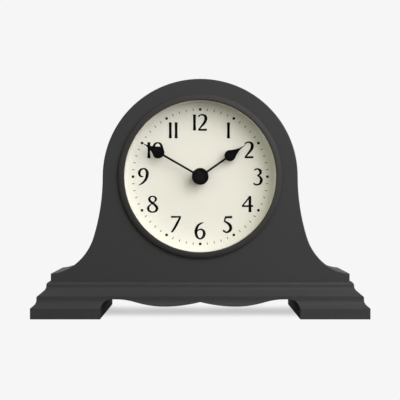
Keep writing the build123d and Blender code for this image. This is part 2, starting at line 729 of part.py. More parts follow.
# The stator lies in the layer of the third wheel, with the coil's core in front of it
STATOR_FRONT = layer(THIRD_LAYER)
STATOR_BACK = STATOR_FRONT + STATOR_THICKNESS
MAGNET_FRONT = (STATOR_FRONT + STATOR_BACK - MAGNET_LENGTH) / 2
MAGNET_BACK = MAGNET_FRONT + MAGNET_LENGTH
CORE_FRONT = STATOR_FRONT - CORE_THICKNESS
CORE_MIDDLE = CORE_FRONT + CORE_THICKNESS / 2
STATOR_BOTTOM = ROTOR_AXIS[1] - STATOR_BELOW_ROTOR
STATOR_TOP = STATOR_BOTTOM + STATOR_LENGTH
COIL_U = ROTOR_AXIS[0] + COIL_OFFSET
BOBBIN_BOTTOM = STATOR_BOTTOM + STATOR_ARM_WIDTH + SEAT_PLAY
BOBBIN_TOP = STATOR_TOP - STATOR_ARM_WIDTH - SEAT_PLAY


def rotor():
    front = layer(INTERMEDIATE_LAYER)
    pinion = gear(ROTOR_PINION, TRAIN_MODULE, ROTOR_PHASE, ROTOR_AXIS, front, front + WHEEL_THICKNESS)
    return arbor(ROTOR_AXIS) + pinion


def rotor_magnet():
    return ring(MAGNET_RADIUS, ARBOR_RADIUS + PRESS_FIT, MAGNET_FRONT, MAGNET_BACK, ROTOR_AXIS)


def stator():
    """Iron plate round the rotor with two arms that reach the ends of the coil's core."""
    left = ROTOR_AXIS[0] - STATOR_WIDTH / 2
    right = ROTOR_AXIS[0] + STATOR_WIDTH / 2
    arm_end = COIL_U + CORE_WIDTH / 2
    plate = block(left, right, STATOR_BOTTOM, STATOR_TOP, STATOR_FRONT, STATOR_BACK)
    for bottom in (STATOR_BOTTOM, STATOR_TOP - STATOR_ARM_WIDTH):
        top = bottom + STATOR_ARM_WIDTH
        plate += block(right, arm_end, bottom, top, STATOR_FRONT, STATOR_BACK)
    plate -= disc(MAGNET_RADIUS + ROTOR_AIR_GAP, STATOR_FRONT, STATOR_BACK, ROTOR_AXIS)
    return plate - disc(POST_RADIUS + SEAT_PLAY, STATOR_FRONT, STATOR_BACK, STATOR_POST)


def coil_core():
    left = COIL_U - CORE_WIDTH / 2
    return block(left, left + CORE_WIDTH, STATOR_BOTTOM, STATOR_TOP, CORE_FRONT, STATOR_FRONT)


def along_coil(section, bottom, top):
    """Upright solid along the coil's core, from a section in plan."""
    plane = Plane((COIL_U, CORE_MIDDLE, DIAL_Z + bottom))
    return extrude(plane * section, top - bottom)


TUBE_WIDTH = CORE_WIDTH + 2 * (CORE_PLAY + BOBBIN_WALL / 2)
TUBE_DEPTH = CORE_THICKNESS + 2 * (CORE_PLAY + BOBBIN_WALL / 2)


def coil_bobbin():
    window = Rectangle(CORE_WIDTH + 2 * CORE_PLAY, CORE_THICKNESS + 2 * CORE_PLAY)
    cheek = RectangleRounded(BOBBIN_FLANGE, BOBBIN_FLANGE, BOBBIN_WALL)
    tube = Rectangle(TUBE_WIDTH, TUBE_DEPTH)
    part = along_coil(tube, BOBBIN_BOTTOM, BOBBIN_TOP)
    part += along_coil(cheek, BOBBIN_BOTTOM, BOBBIN_BOTTOM + BOBBIN_WALL)
    part += along_coil(cheek, BOBBIN_TOP - BOBBIN_WALL, BOBBIN_TOP)
    return part - along_coil(window, BOBBIN_BOTTOM, BOBBIN_TOP)


def coil_winding():
    hollow = Rectangle(TUBE_WIDTH + 2 * PRESS_FIT, TUBE_DEPTH + 2 * PRESS_FIT)
    section = Circle(WINDING_RADIUS) - hollow
    low = BOBBIN_BOTTOM + BOBBIN_WALL + SEAT_PLAY
    high = BOBBIN_TOP - BOBBIN_WALL - SEAT_PLAY
    return along_coil(section, low, high)


# Posts of the shell: four carry the bearing plate, and one of them passes through the stator
STATOR_POST = (ROTOR_AXIS[0], STATOR_TOP - STATOR_ARM_WIDTH)
PLATE_LEFT = THIRD_AXIS[0] - TRAIN_MODULE * THIRD_TEETH / 4
PLATE_RIGHT = SETTING_AXIS[0] - KNOB_SHAFT_RADIUS - PLATE_MARGIN
PLATE_TOP = STATOR_POST[1] + POST_RADIUS + PLATE_MARGIN
LOW_POST = TRAIN_BOTTOM + POST_RADIUS / 2
PLATE_POSTS = [
    (PLATE_LEFT + PLATE_CORNER, LOW_POST),
    (PLATE_RIGHT - PLATE_CORNER, LOW_POST),
    (PLATE_LEFT + PLATE_CORNER, PLATE_TOP - PLATE_CORNER),
    STATOR_POST,
]
BOARD_LEFT = -ROOM + SEAT_PLAY
BOARD_MIDDLE = BOARD_LEFT + BOARD_WIDTH / 2
BOARD_TOP = ROOM - 2 * SHELL_WALL
BOARD_FRONT = SHELL_FLOOR + BOARD_DEPTH - BOARD_THICKNESS
BOARD_BACK = BOARD_FRONT + BOARD_THICKNESS
BOARD_POSTS = [
    (BOARD_MIDDLE, BOARD_TOP - BOARD_WIDTH / 2),
    (BOARD_MIDDLE, BOARD_TOP - BOARD_LENGTH + BOARD_WIDTH / 2),
]
PIVOT_AXES = [MOTION_AXIS, THIRD_AXIS, SECONDS_AXIS, INTERMEDIATE_AXIS, ROTOR_AXIS]

# The cover's tabs stand inside the shell's walls, and the two at the sides snap into windows there
TAB_MIDDLE = (TRAIN_BOTTOM + ROOM) / 2
TAB_EDGE = ROOM - SEAT_PLAY
TAB_FRONT = COVER_FRONT - TAB_LENGTH


def side_clips(inside, outside, play=0):
    """Catches on the outer faces of the side tabs, or with play the windows that they snap into."""
    bottom, top = TAB_MIDDLE - CLIP_WIDTH / 2 - play, TAB_MIDDLE + CLIP_WIDTH / 2 + play
    front, back = TAB_FRONT - play, TAB_FRONT + CLIP_HEIGHT + play
    sides = [(-outside, -inside), (inside, outside)]
    return [block(left, right, bottom, top, front, back) for left, right in sides]


def finger_notch():
    """Round-cornered gap in the bay's lower wall, where a finger lifts the battery out."""
    wall_bottom = Plane((0, COVER_FRONT, DIAL_Z - HALF))
    return extrude(wall_bottom * RectangleRounded(NOTCH_WIDTH, 2 * NOTCH_DEPTH, NOTCH_CORNER), SHELL_WALL)


def movement_shell():
    """Front housing: a tray with a room for the wheels, a bay for the battery, posts and pivot holes."""
    shell = slab(RectangleRounded(MOVEMENT_SIZE, MOVEMENT_SIZE, SHELL_CORNER), SHELL_FRONT, COVER_FRONT)
    shell -= block(-ROOM, ROOM, TRAIN_BOTTOM, ROOM, SHELL_FLOOR, COVER_FRONT)
    shell -= block(-ROOM, ROOM, -ROOM, BAY_TOP, SHELL_FLOOR, COVER_FRONT)
    for post in PLATE_POSTS:
        shell += disc(POST_RADIUS, SHELL_FLOOR, PLATE_FRONT, post)
    for post in BOARD_POSTS:
        shell += disc(POST_RADIUS, SHELL_FLOOR, BOARD_FRONT, post)
    shell -= disc(BUSH_RADIUS + PRESS_FIT, SHELL_FRONT, SHELL_FLOOR)
    for axis in PIVOT_AXES + [SETTING_AXIS]:
        shell -= disc(ARBOR_RADIUS + PIVOT_FIT, PIVOT_FRONT, SHELL_FLOOR, axis)
    shell -= side_clips(ROOM, HALF, SEAT_PLAY)
    return shell - finger_notch()


def movement_cover():
    """Rear cover over the wheels, with a hole for the knob's shaft and tabs inside the shell's walls."""
    outline = RectangleRounded(MOVEMENT_SIZE, MOVEMENT_SIZE, SHELL_CORNER)
    outline &= Pos(0, (BAY_TOP + HALF) / 2) * Rectangle(MOVEMENT_SIZE, HALF - BAY_TOP)
    cover = slab(outline, COVER_FRONT, COVER_BACK)
    for side in (-1, 1):
        left, right = sorted((side * TAB_EDGE, side * (TAB_EDGE - TAB_THICKNESS)))
        bottom, top = TAB_MIDDLE - TAB_WIDTH / 2, TAB_MIDDLE + TAB_WIDTH / 2
        cover += block(left, right, bottom, top, TAB_FRONT, COVER_FRONT)
        left, right = side * TAB_MIDDLE - TAB_WIDTH / 2, side * TAB_MIDDLE + TAB_WIDTH / 2
        cover += block(left, right, TAB_EDGE - TAB_THICKNESS, TAB_EDGE, TAB_FRONT, COVER_FRONT)
    cover += side_clips(TAB_EDGE, TAB_EDGE + CLIP_PROUD)
    recess = KNOB_RADIUS + SHELL_WALL
    cover -= disc(recess, COVER_BACK - KNOB_RECESS, COVER_BACK, SETTING_AXIS)
    return cover - disc(KNOB_SHAFT_RADIUS + RUNNING_FIT, COVER_FRONT, COVER_BACK, SETTING_AXIS)


def bearing_plate():
    """Plate on the shell's posts with the rear pivot holes of the train."""
    width = PLATE_RIGHT - PLATE_LEFT
    bottom = TRAIN_BOTTOM + SEAT_PLAY
    height = PLATE_TOP - bottom
    middle = (PLATE_LEFT + width / 2, bottom + height / 2)
    plate = slab(Pos(*middle) * RectangleRounded(width, height, PLATE_CORNER), PLATE_FRONT, PLATE_BACK)
    for axis in PIVOT_AXES + [HAND_AXIS]:
        plate -= disc(ARBOR_RADIUS + PIVOT_FIT, PLATE_FRONT, PLATE_BACK, axis)
    return plate


def circuit_board():
    """Board on two posts, with the dome of its chip on the rear face."""
    bottom = BOARD_TOP - BOARD_LENGTH
    board = block(BOARD_LEFT, BOARD_LEFT + BOARD_WIDTH, bottom, BOARD_TOP, BOARD_FRONT, BOARD_BACK)
    place = (BOARD_MIDDLE, BOARD_TOP - BOARD_LENGTH / 2)
    chip = disc(CHIP_RADIUS, BOARD_BACK, BOARD_BACK + CHIP_HEIGHT, place)
    chip = chamfer(chip.edges().sort_by(Axis.Y)[-1], CHIP_CHAMFER)
    return board + chip


def quartz_crystal():
    """Round crystal can that lies on the rear face of the board."""
    bottom = BOARD_TOP - BOARD_LENGTH / 4 - CRYSTAL_LENGTH
    place = Plane((BOARD_MIDDLE, BOARD_BACK + CRYSTAL_RADIUS + PRESS_FIT, DIAL_Z + bottom))
    return extrude(place * Circle(CRYSTAL_RADIUS), CRYSTAL_LENGTH)


def battery():
    """Round cell that lies across the bay, with its button to the right."""
    shoulder = BATTERY_RIGHT - BATTERY_BUTTON
    plane = Plane((BATTERY_LEFT, BATTERY_Y, DIAL_Z + BATTERY_V), x_dir=(0, 1, 0), z_dir=(1, 0, 0))
    cell = extrude(plane * Circle(BATTERY_RADIUS), shoulder - BATTERY_LEFT)
    cell = chamfer(cell.edges().filter_by(GeomType.CIRCLE), BATTERY_CHAMFER)
    return cell + extrude(plane * Circle(BATTERY_BUTTON_RADIUS), BATTERY_LENGTH)


def contact_plate(left):
    """Flat strip against one end wall of the bay."""
    bottom, top = BATTERY_V - CONTACT_WIDTH / 2, BATTERY_V + CONTACT_WIDTH / 2
    front, back = BATTERY_Y - CONTACT_WIDTH / 2, COVER_FRONT
    return block(left, left + CONTACT_THICKNESS, bottom, top, front, back)


def battery_contact_positive():
    return contact_plate(ROOM - CONTACT_THICKNESS - SEAT_PLAY)


def battery_contact_negative():
    """Strip against the left wall with a bowed leaf that presses on the flat end of the cell."""
    wall = -ROOM + SEAT_PLAY
    crown = BATTERY_LEFT - SEAT_PLAY
    inside = wall + CONTACT_THICKNESS / 2
    outside = inside + CONTACT_THICKNESS
    low, high = BATTERY_V - CONTACT_WIDTH / 2, BATTERY_V + CONTACT_WIDTH / 2
    outer = ThreePointArc((outside, low), (crown, BATTERY_V), (outside, high))
    inner = ThreePointArc((inside, low), (crown - CONTACT_THICKNESS, BATTERY_V), (inside, high))
    ends = [Line(outer @ end, inner @ end) for end in (0, 1)]
    leaf = make_face([outer, inner] + ends)
    front, back = BATTERY_Y - CONTACT_WIDTH / 2, BATTERY_Y + CONTACT_WIDTH / 2
    return contact_plate(wall) + slab(leaf, front, back)


PIECES = [
    case_body,
    plinth_moulding,
    base_board,
    foot_pads,
    case_screws,
    locating_dowels,
    bezel_ring,
    glass_lens,
    dial_spacer,
    dial_plate,
    hour_hand,
    minute_hand,
    hand_cap,
    threaded_bush,
    hex_nut,
    nut_washer,
    rubber_gasket,
    movement_shell,
    movement_cover,
    bearing_plate,
    hour_wheel,
    minute_arbor,
    motion_wheel,
    setting_knob,
    centre_wheel,
    third_wheel,
    seconds_wheel,
    intermediate_wheel,
    rotor,
    rotor_magnet,
    stator,
    coil_core,
    coil_bobbin,
    coil_winding,
    circuit_board,
    quartz_crystal,
    battery,
    battery_contact_positive,
    battery_contact_negative,
]

os.makedirs("parts", exist_ok=True)
for piece in PIECES:
    shape = piece()
    if isinstance(shape, list):
        shape = Compound(children=shape)
    export_step(shape, "parts/" + piece.__name__ + ".step")
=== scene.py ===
"""Looks of a tambour mantel clock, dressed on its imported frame.

A painted wooden case on a moulded plinth, a cream dial behind glass, black spade hands, and a battery
movement at the back. Lengths are metres unless a name or a comment says millimetres. The dial faces -Y.
"""

import json
import math

import bmesh
import bpy
import numpy as np
from bpy.props import FloatProperty, FloatVectorProperty, PointerProperty
from bpy.types import Operator, Panel, PropertyGroup
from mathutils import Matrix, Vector


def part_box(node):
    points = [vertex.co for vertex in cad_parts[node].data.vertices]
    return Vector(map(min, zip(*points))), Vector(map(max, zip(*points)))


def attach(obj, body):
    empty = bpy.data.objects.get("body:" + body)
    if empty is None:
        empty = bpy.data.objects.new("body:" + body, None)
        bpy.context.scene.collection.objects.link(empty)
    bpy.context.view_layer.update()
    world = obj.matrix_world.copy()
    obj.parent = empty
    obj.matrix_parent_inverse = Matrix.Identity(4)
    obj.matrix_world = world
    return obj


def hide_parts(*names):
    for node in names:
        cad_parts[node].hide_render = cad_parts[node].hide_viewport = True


bl_info = {
    "name": "Tambour mantel clock",
    "version": (1, 0, 0),
    "blender": (4, 5, 0),
    "location": "3D View > Sidebar > Clock",
    "description": "Dresses the packed frame of a tambour mantel clock and sets its stage",
    "category": "Object",
}

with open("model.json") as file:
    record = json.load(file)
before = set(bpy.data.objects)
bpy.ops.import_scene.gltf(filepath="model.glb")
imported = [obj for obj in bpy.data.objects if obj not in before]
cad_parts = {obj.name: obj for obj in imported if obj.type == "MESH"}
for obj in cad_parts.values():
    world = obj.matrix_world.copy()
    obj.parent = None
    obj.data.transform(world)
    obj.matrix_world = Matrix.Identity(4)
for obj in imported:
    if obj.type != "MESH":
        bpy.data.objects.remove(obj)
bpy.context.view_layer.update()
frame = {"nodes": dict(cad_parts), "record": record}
NODES = frame["nodes"]
MM = 0.001

DIAL_LOW, DIAL_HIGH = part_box("dial_plate")
DIAL_Z = (DIAL_LOW.z + DIAL_HIGH.z) / 2
DIAL_FRONT = DIAL_LOW.y
# Radius of the opening in the back of the case
REAR_OPENING = 56 * MM
# The base's right end and half its depth, and the underside of the moulding above it
BASE_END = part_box("base_board")[1].x
BASE_HALF_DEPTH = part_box("base_board")[1].y
MOULDING_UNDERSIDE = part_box("plinth_moulding")[0].z
OPENINGS = {opening["name"]: opening["box_m"] for opening in frame["record"]["physics"]["openings"]}
# Half the width of the gap under the base
GAP_HALF = OPENINGS["under_base_gap"][1][0]
# An edge is sharp if it turns by more than the first angle, and flat if by less than the second.
SHARP_ANGLE = math.radians(35)
FLAT_ANGLE = math.radians(0.3)
# Points of a CAD mesh on the same step of this grid are one, and so are points of a new piece this close.
MERGE_STEP = 0.001 * MM
MERGE_DISTANCE = 0.0001 * MM


def linear(code):
    """Linear red, green and blue of an sRGB hex colour."""
    channels = np.array([int(code[place : place + 2], 16) for place in (1, 3, 5)]) / 255
    low = channels / 12.92
    high = ((channels + 0.055) / 1.055) ** 2.4
    return tuple(float(value) for value in np.where(channels <= 0.04045, low, high))


def colour_property(name, description, code):
    """Colour setting with an sRGB hex default."""
    return FloatVectorProperty(
        name=name, description=description, default=linear(code), subtype="COLOR", min=0, max=1
    )


def length_property(name, description, millimetres):
    """Length setting with a default in millimetres."""
    return FloatProperty(
        name=name, description=description, default=millimetres * MM, unit="LENGTH", precision=5, min=0
    )


def share_property(name, description, share):
    """Plain number: a share, a strength or a scale."""
    return FloatProperty(name=name, description=description, default=share, precision=4)


def power_property(name, description, watts):
    """Lamp power in watts."""
    return FloatProperty(name=name, description=description, default=watts, unit="POWER", min=0)


class ClockColours(PropertyGroup):
    """Main colours of the clock."""

    paint: colour_property("Case paint", "Matt paint of the case and plinth", "#313132")
    bezel: colour_property("Bezel paint", "Satin paint of the ring round the glass", "#373535")
    dial: colour_property("Dial", "Enamel of the dial", "#efece5")
    spacer: colour_property("Spacer", "Plastic of the ring between dial and glass", "#e3e4da")
    ink: colour_property("Ink", "Ink of the numerals and hour dots", "#070708")
    tick_ink: colour_property("Tick ink", "Ink of the minute ticks", "#2c2a24")
    hands: colour_property("Hands", "Lacquer of the hands and their cap", "#040405")


class ClockPrint(PropertyGroup):
    """Sizes of what is printed on the dial."""

    numeral_scale: share_property("Numeral scale", "Size of the numerals beside the drawn ones", 1.0)
    pen_weight: share_property("Pen weight", "Width of the strokes beside the drawn ones", 1.38)
    track_radius: length_property("Track radius", "Radius of the ring of dots and ticks", 59.75)
    dot_radius: length_property("Dot radius", "Radius of an hour dot", 1.25)
    tick_length: length_property("Tick length", "Length of a minute tick", 2.1)
    tick_width: length_property("Tick width", "Width of a minute tick", 0.6)
    ink_thickness: length_property("Ink thickness", "How far the print stands off the dial", 0.04)


class ClockEdges(PropertyGroup):
    """Rounding of edges that are sharp in the solids."""

    moulding: length_property("Moulding edges", "Rounding of the moulding's sanded and painted edges", 0.7)
    base: length_property("Base edges", "Rounding of the base's painted edges", 0.1)
    wood_reach: length_property("Wood reach", "How far in from the sides wooden edges are rounded", 14.0)
    cap: length_property("Cap edges", "Rounding of the cap over the hands", 0.3)
    plastic: length_property("Plastic edges", "Rounding of the movement housing's moulded edges", 0.05)
    plastic_reach: length_property("Plastic reach", "How far in moulded edges are rounded", 3.0)
    metal: length_property("Metal edges", "Rounding of the nut's edges", 0.15)
    glass: length_property("Glass edges", "Rounding of the glass's ground edges", 0.2)
    glass_gap: length_property("Glass gap", "How far the glass stands off what it touches", 0.02)


class ClockStage(PropertyGroup):
    """Camera, floor and lamps."""

    camera_distance: length_property("Camera distance", "From the camera to the middle of the case", 642.7)
    camera_height: length_property("Camera height", "From the floor to the camera", 105.4)
    shift_right: share_property("Shift right", "Sideways lens shift as a share of the picture", -0.0005)
    shift_up: share_property("Shift up", "Upward lens shift as a share of the picture", -0.0085)
    lens: FloatProperty(name="Lens", description="Focal length in millimetres", default=63.44, unit="CAMERA")
    backdrop: colour_property("Backdrop", "Colour of floor and backdrop", "#f6f6f6")
    bounce: colour_property("Floor bounce", "Tone of the floor that lights the clock from below", "#5a5a5a")
    lamp_tint: colour_property("Lamp tint", "Colour of the lamps' light", "#faf9ff")
    ambient_tint: colour_property("Ambient tint", "Colour of the light from all round", "#fdfee9")
    key_power: power_property("Key lamp", "Power of the lamp at the right", 24.5)
    high_power: power_property("High lamp", "Power of the lamp high in front", 6.7)
    back_power: power_property("Back lamp", "Power of the lamp behind", 14)
    ambient: share_property("Ambient", "Strength of the light from all round", 1.15)
    ceiling: share_property("Ceiling", "Ceiling's share of the light from all round", 0.4)
    room: share_property("Room", "Strength of the dim room behind the camera", 0.03)
    shadow_share: share_property("Shadow share", "Share of the floor's tone that shadows can take away", 0.43)
    shadow_core: length_property("Shadow core", "Half the depth over which the floor's shadow is darkest", 4)
    shadow_reach: length_property("Shadow reach", "Over what length the floor's shadow fades out", 40)
    shadow_offset: length_property("Shadow offset", "How far behind the base's middle it is darkest", 8)


def put(tree, kind, output=None, **given):
    """Adds one shader node. A keyword in small letters sets one of the node's own settings, and these come
    first. One with a capital sets the input of that name or identifier to a constant or links it to another
    node's output. The output asked for comes back, or else the first one in use."""
    node = tree.nodes.new("ShaderNode" + kind)
    for name, value in given.items():
        if name.islower():
            setattr(node, name, value)
            continue
        socket = next(plug for plug in node.inputs if name in (plug.identifier, plug.name.replace(" ", "_")))
        if isinstance(value, bpy.types.NodeSocket):
            tree.links.new(value, socket)
        elif socket.type == "RGBA":
            socket.default_value = (*value[:3], 1)
        else:
            socket.default_value = value
    return node.outputs[output] if output else next((plug for plug in node.outputs if plug.enabled), None)


def per(millimetres):
    """Texture scale at which a noise or cell pattern has features of a size in millimetres."""
    return 1 / (millimetres * MM)


def per_wave(millimetres):
    """Texture scale at which a wave pattern repeats after a length in millimetres."""
    return math.pi / 10 / (millimetres * MM)


def shades(colour, spread):
    """A darker and a lighter shade of a linear colour, spread apart by a share of it."""
    colour = np.array(colour[:3])
    return tuple(colour * (1 - spread)), tuple(np.minimum(colour * (1 + spread), 1))


def new_material(name):
    """Material with an empty node tree, the tree, and the Object coordinates in it."""
    material = bpy.data.materials.new(name)
    material.use_nodes = True
    tree = material.node_tree
    tree.nodes.clear()
    return material, tree, put(tree, "TexCoord", "Object")


def painted_mdf(colour):
    """Sprayed matt paint on MDF: an even dark coat with a faint mottle, fine specks and orange peel. The wall
    of the rear opening is bare board, because the opening is bored after painting. The walls of the gap
    under the base are darkened nearly to black, as painted shade."""
    material, tree, place = new_material("Painted MDF")
    dark, light = shades(colour, 0.04)
    mottle = put(tree, "TexNoise", Vector=place, Scale=per(22), Detail=3.0)
    coat = put(tree, "Mix", data_type="RGBA", Factor_Float=mottle, A_Color=dark, B_Color=light)
    grains = put(tree, "TexNoise", Vector=place, Scale=per(0.9))
    specks = put(tree, "MapRange", Value=grains, From_Min=0.55, From_Max=0.75, To_Max=0.12)
    pale = shades(colour, 0.35)[1]
    coat = put(tree, "Mix", data_type="RGBA", Factor_Float=specks, A_Color=coat, B_Color=pale)
    # The three shares are 1 between the feet, well behind the base's front and below the moulding. All of
    # them are 1 only inside the gap, so the least of them is the share of the painted shade that darkens
    # the gap's walls. It fades in from 4.5 to 12 mm behind the front and ends sharply on the other sides.
    aside = put(tree, "VectorMath", operation="ABSOLUTE", Vector=place)
    shares = put(
        tree,
        "MapRange",
        "Vector",
        data_type="FLOAT_VECTOR",
        Vector=aside,
        From_Min_FLOAT3=(GAP_HALF + 0.8 * MM, BASE_HALF_DEPTH - 4.5 * MM, MOULDING_UNDERSIDE + 0.1 * MM),
        From_Max_FLOAT3=(GAP_HALF + 0.6 * MM, BASE_HALF_DEPTH - 12 * MM, MOULDING_UNDERSIDE),
    )
    parts = put(tree, "SeparateXYZ", Vector=shares).node.outputs
    gap_shade = put(tree, "Math", operation="MINIMUM", Value=parts["X"], Value_001=parts["Y"])
    gap_shade = put(tree, "Math", operation="MINIMUM", Value=gap_shade, Value_001=parts["Z"])
    # Painted shade: the walls of the gap under the base are darkened nearly to black.
    coat = put(tree, "Mix", data_type="RGBA", Factor_Float=gap_shade, A_Color=coat, B_Color=linear("#141414"))
    beside = put(tree, "Mapping", Vector=place, Location=(0, 0, -DIAL_Z), Scale=(1, 0, 1))
    radius = put(tree, "VectorMath", operation="LENGTH", Vector=beside)
    start, end = REAR_OPENING + 0.05 * MM, REAR_OPENING + 0.6 * MM
    bare = put(tree, "MapRange", Value=radius, From_Min=start, From_Max=end, To_Min=1.0, To_Max=0.0)
    fibre = put(tree, "TexNoise", Vector=place, Scale=per(0.7), Detail=4.0, Roughness=0.7)
    brown, tan = linear("#6f5438"), linear("#a98a62")
    board = put(tree, "Mix", data_type="RGBA", Factor_Float=fibre, A_Color=brown, B_Color=tan)
    # Orange peel is about 1 mm across, drawn at 1.6 mm so that it shows.
    peel = put(tree, "TexNoise", Vector=place, Scale=per(1.6), Detail=1.0)
    patches = put(tree, "TexNoise", Vector=place, Scale=per(6), Detail=3.0)
    shader = put(
        tree,
        "BsdfPrincipled",
        Base_Color=put(tree, "Mix", data_type="RGBA", Factor_Float=bare, A_Color=coat, B_Color=board),
        Roughness=put(tree, "MapRange", Value=patches, To_Min=0.58, To_Max=0.7),
        Specular_IOR_Level=0.3,
        Normal=put(tree, "Bump", Height=peel, Distance=0.02 * MM),
    )
    put(tree, "OutputMaterial", Surface=shader)
    return material


def lacquered_steel(colour):
    """Satin lacquer over a spun steel ring: close concentric marks under a smooth film."""
    material, tree, place = new_material("Lacquered steel")
    # The marks are about 0.2 mm apart, drawn at 0.6 mm so that they show.
    centred = put(tree, "Mapping", Vector=place, Location=(0, 0, -DIAL_Z))
    marks = put(
        tree,
        "TexWave",
        "Fac",
        wave_type="RINGS",
        rings_direction="Y",
        Vector=centred,
        Scale=per_wave(0.6),
        Distortion=1.5,
        Detail_Scale=2.0,
    )
    film = put(tree, "TexNoise", Vector=place, Scale=per(3), Detail=3.0)
    dark, light = shades(colour, 0.05)
    shader = put(
        tree,
        "BsdfPrincipled",
        Base_Color=put(tree, "Mix", data_type="RGBA", Factor_Float=film, A_Color=dark, B_Color=light),
        Roughness=put(tree, "MapRange", Value=film, To_Min=0.55, To_Max=0.65),
        Specular_IOR_Level=0.15,
        Normal=put(tree, "Bump", Height=marks, Distance=0.004 * MM),
    )
    put(tree, "OutputMaterial", Surface=shader)
    return material


def float_glass():
    """Float glass: clear, with a surface that wavers a little. Lamps and soft light pass straight through it,
    so it casts no shadow on the dial."""
    material, tree, place = new_material("Float glass")
    waver = put(tree, "TexNoise", Vector=place, Scale=per(30), Detail=1.0)
    tint = linear("#fcfcfb")
    glass = put(
        tree,
        "BsdfPrincipled",
        Base_Color=tint,
        Roughness=0.02,
        IOR=1.5,
        Transmission_Weight=1.0,
        Normal=put(tree, "Bump", Height=waver, Distance=0.01 * MM),
    )
    clear = put(tree, "BsdfTransparent", Color=tint)
    shadow = put(tree, "LightPath", "Is Shadow Ray")
    soft = put(tree, "LightPath", "Is Diffuse Ray")
    straight = put(tree, "Math", operation="MAXIMUM", Value=shadow, Value_001=soft)
    shader = put(tree, "MixShader", Fac=straight, Shader=glass, Shader_001=clear)
    put(tree, "OutputMaterial", Surface=shader)
    return material


def dial_enamel(colour):
    """Stoved enamel on a thin metal dial: cream, matt, with a fine even tooth and a faint cloud."""
    material, tree, place = new_material("Dial enamel")
    cloud = put(tree, "TexNoise", Vector=place, Scale=per(14), Detail=3.0)
    sheen = put(tree, "TexNoise", Vector=place, Scale=per(2))
    # The tooth is about 0.1 mm, drawn at 0.7 mm so that it shows.
    tooth = put(tree, "TexNoise", Vector=place, Scale=per(0.7))
    dark, light = shades(colour, 0.015)
    shader = put(
        tree,
        "BsdfPrincipled",
        Base_Color=put(tree, "Mix", data_type="RGBA", Factor_Float=cloud, A_Color=dark, B_Color=light),
        Roughness=put(tree, "MapRange", Value=sheen, To_Min=0.5, To_Max=0.6),
        Normal=put(tree, "Bump", Height=tooth, Distance=0.006 * MM),
    )
    put(tree, "OutputMaterial", Surface=shader)
    return material


def moulded_polystyrene(colour):
    """Moulded polystyrene: smooth cream plastic, faintly uneven where the melt flowed."""
    material, tree, place = new_material("Moulded polystyrene")
    flow = put(tree, "TexNoise", Vector=place, Scale=per(5))
    dark, light = shades(colour, 0.03)
    shader = put(
        tree,
        "BsdfPrincipled",
        Base_Color=put(tree, "Mix", data_type="RGBA", Factor_Float=flow, A_Color=dark, B_Color=light),
        Roughness=put(tree, "MapRange", Value=flow, To_Min=0.36, To_Max=0.46),
        Normal=put(tree, "Bump", Height=flow, Distance=0.01 * MM),
    )
    put(tree, "OutputMaterial", Surface=shader)
    return material


def printed_ink(name, colour):
    """Pad-printed ink: a dead matt film whose cover varies a little."""
    material, tree, place = new_material(name)
    cover = put(tree, "TexNoise", Vector=place, Scale=per(0.8))
    dark, light = shades(colour, 0.15)
    shader = put(
        tree,
        "BsdfPrincipled",
        Base_Color=put(tree, "Mix", data_type="RGBA", Factor_Float=cover, A_Color=dark, B_Color=light),
        Roughness=put(tree, "MapRange", Value=cover, To_Min=0.75, To_Max=0.9),
        Specular_IOR_Level=0.05,
    )
    put(tree, "OutputMaterial", Surface=shader)
    return material


def black_lacquer(colour):
    """Black lacquer on stamped steel: a satin film with a fine tooth. Paler patches on the cap's middle are a
    painted highlight of its dome."""
    material, tree, place = new_material("Black lacquer")
    # The tooth is about 0.1 mm, drawn at 0.6 mm so that it shows.
    tooth = put(tree, "TexNoise", Vector=place, Scale=per(0.6), Detail=3.0)
    film = put(tree, "TexNoise", Vector=place, Scale=per(4))
    patches = put(tree, "TexNoise", Vector=place, Scale=per(1.5), Detail=4.0, Roughness=0.7)
    # Painted highlight: paler patches within 2 to 7 mm of the hands' axis, where the cap's dome would catch
    # the light.
    beside = put(tree, "Mapping", Vector=place, Location=(0, 0, -DIAL_Z), Scale=(1, 0, 1))
    radius = put(tree, "VectorMath", operation="LENGTH", Vector=beside)
    middle = put(tree, "MapRange", Value=radius, From_Min=2 * MM, From_Max=7 * MM, To_Min=1.0, To_Max=0.0)
    highlight_patches = put(tree, "MapRange", Value=patches, From_Min=0.35, From_Max=0.8)
    cap_highlight = put(tree, "Math", operation="MULTIPLY", Value=highlight_patches, Value_001=middle)
    shader = put(
        tree,
        "BsdfPrincipled",
        Base_Color=put(
            tree, "Mix", data_type="RGBA", Factor_Float=cap_highlight, A_Color=colour[:3], B_Color=linear("#272625")
        ),
        Roughness=put(tree, "MapRange", Value=film, To_Min=0.5, To_Max=0.62),
        Specular_IOR_Level=0.06,
        Normal=put(tree, "Bump", Height=tooth, Distance=0.004 * MM),
    )
    put(tree, "OutputMaterial", Surface=shader)
    return material


def pressed_felt():
    """Pressed wool felt: dark, matted fibres with a soft sheen."""
    material, tree, place = new_material("Pressed felt")
    # The fibres are about 0.03 mm, drawn as matted knots of 0.7 mm so that they show.
    fibres = put(tree, "TexVoronoi", Vector=place, Scale=per(0.7))
    tufts = put(tree, "TexNoise", Vector=place, Scale=per(1.8), Detail=5.0, Roughness=0.7)
    dark, light = linear("#161616"), linear("#383736")
    shader = put(
        tree,
        "BsdfPrincipled",
        Base_Color=put(tree, "Mix", data_type="RGBA", Factor_Float=tufts, A_Color=dark, B_Color=light),
        Roughness=0.95,
        Sheen_Weight=0.35,
        Sheen_Roughness=0.6,
        Normal=put(tree, "Bump", Height=fibres, Distance=0.12 * MM),
    )
    put(tree, "OutputMaterial", Surface=shader)
    return material


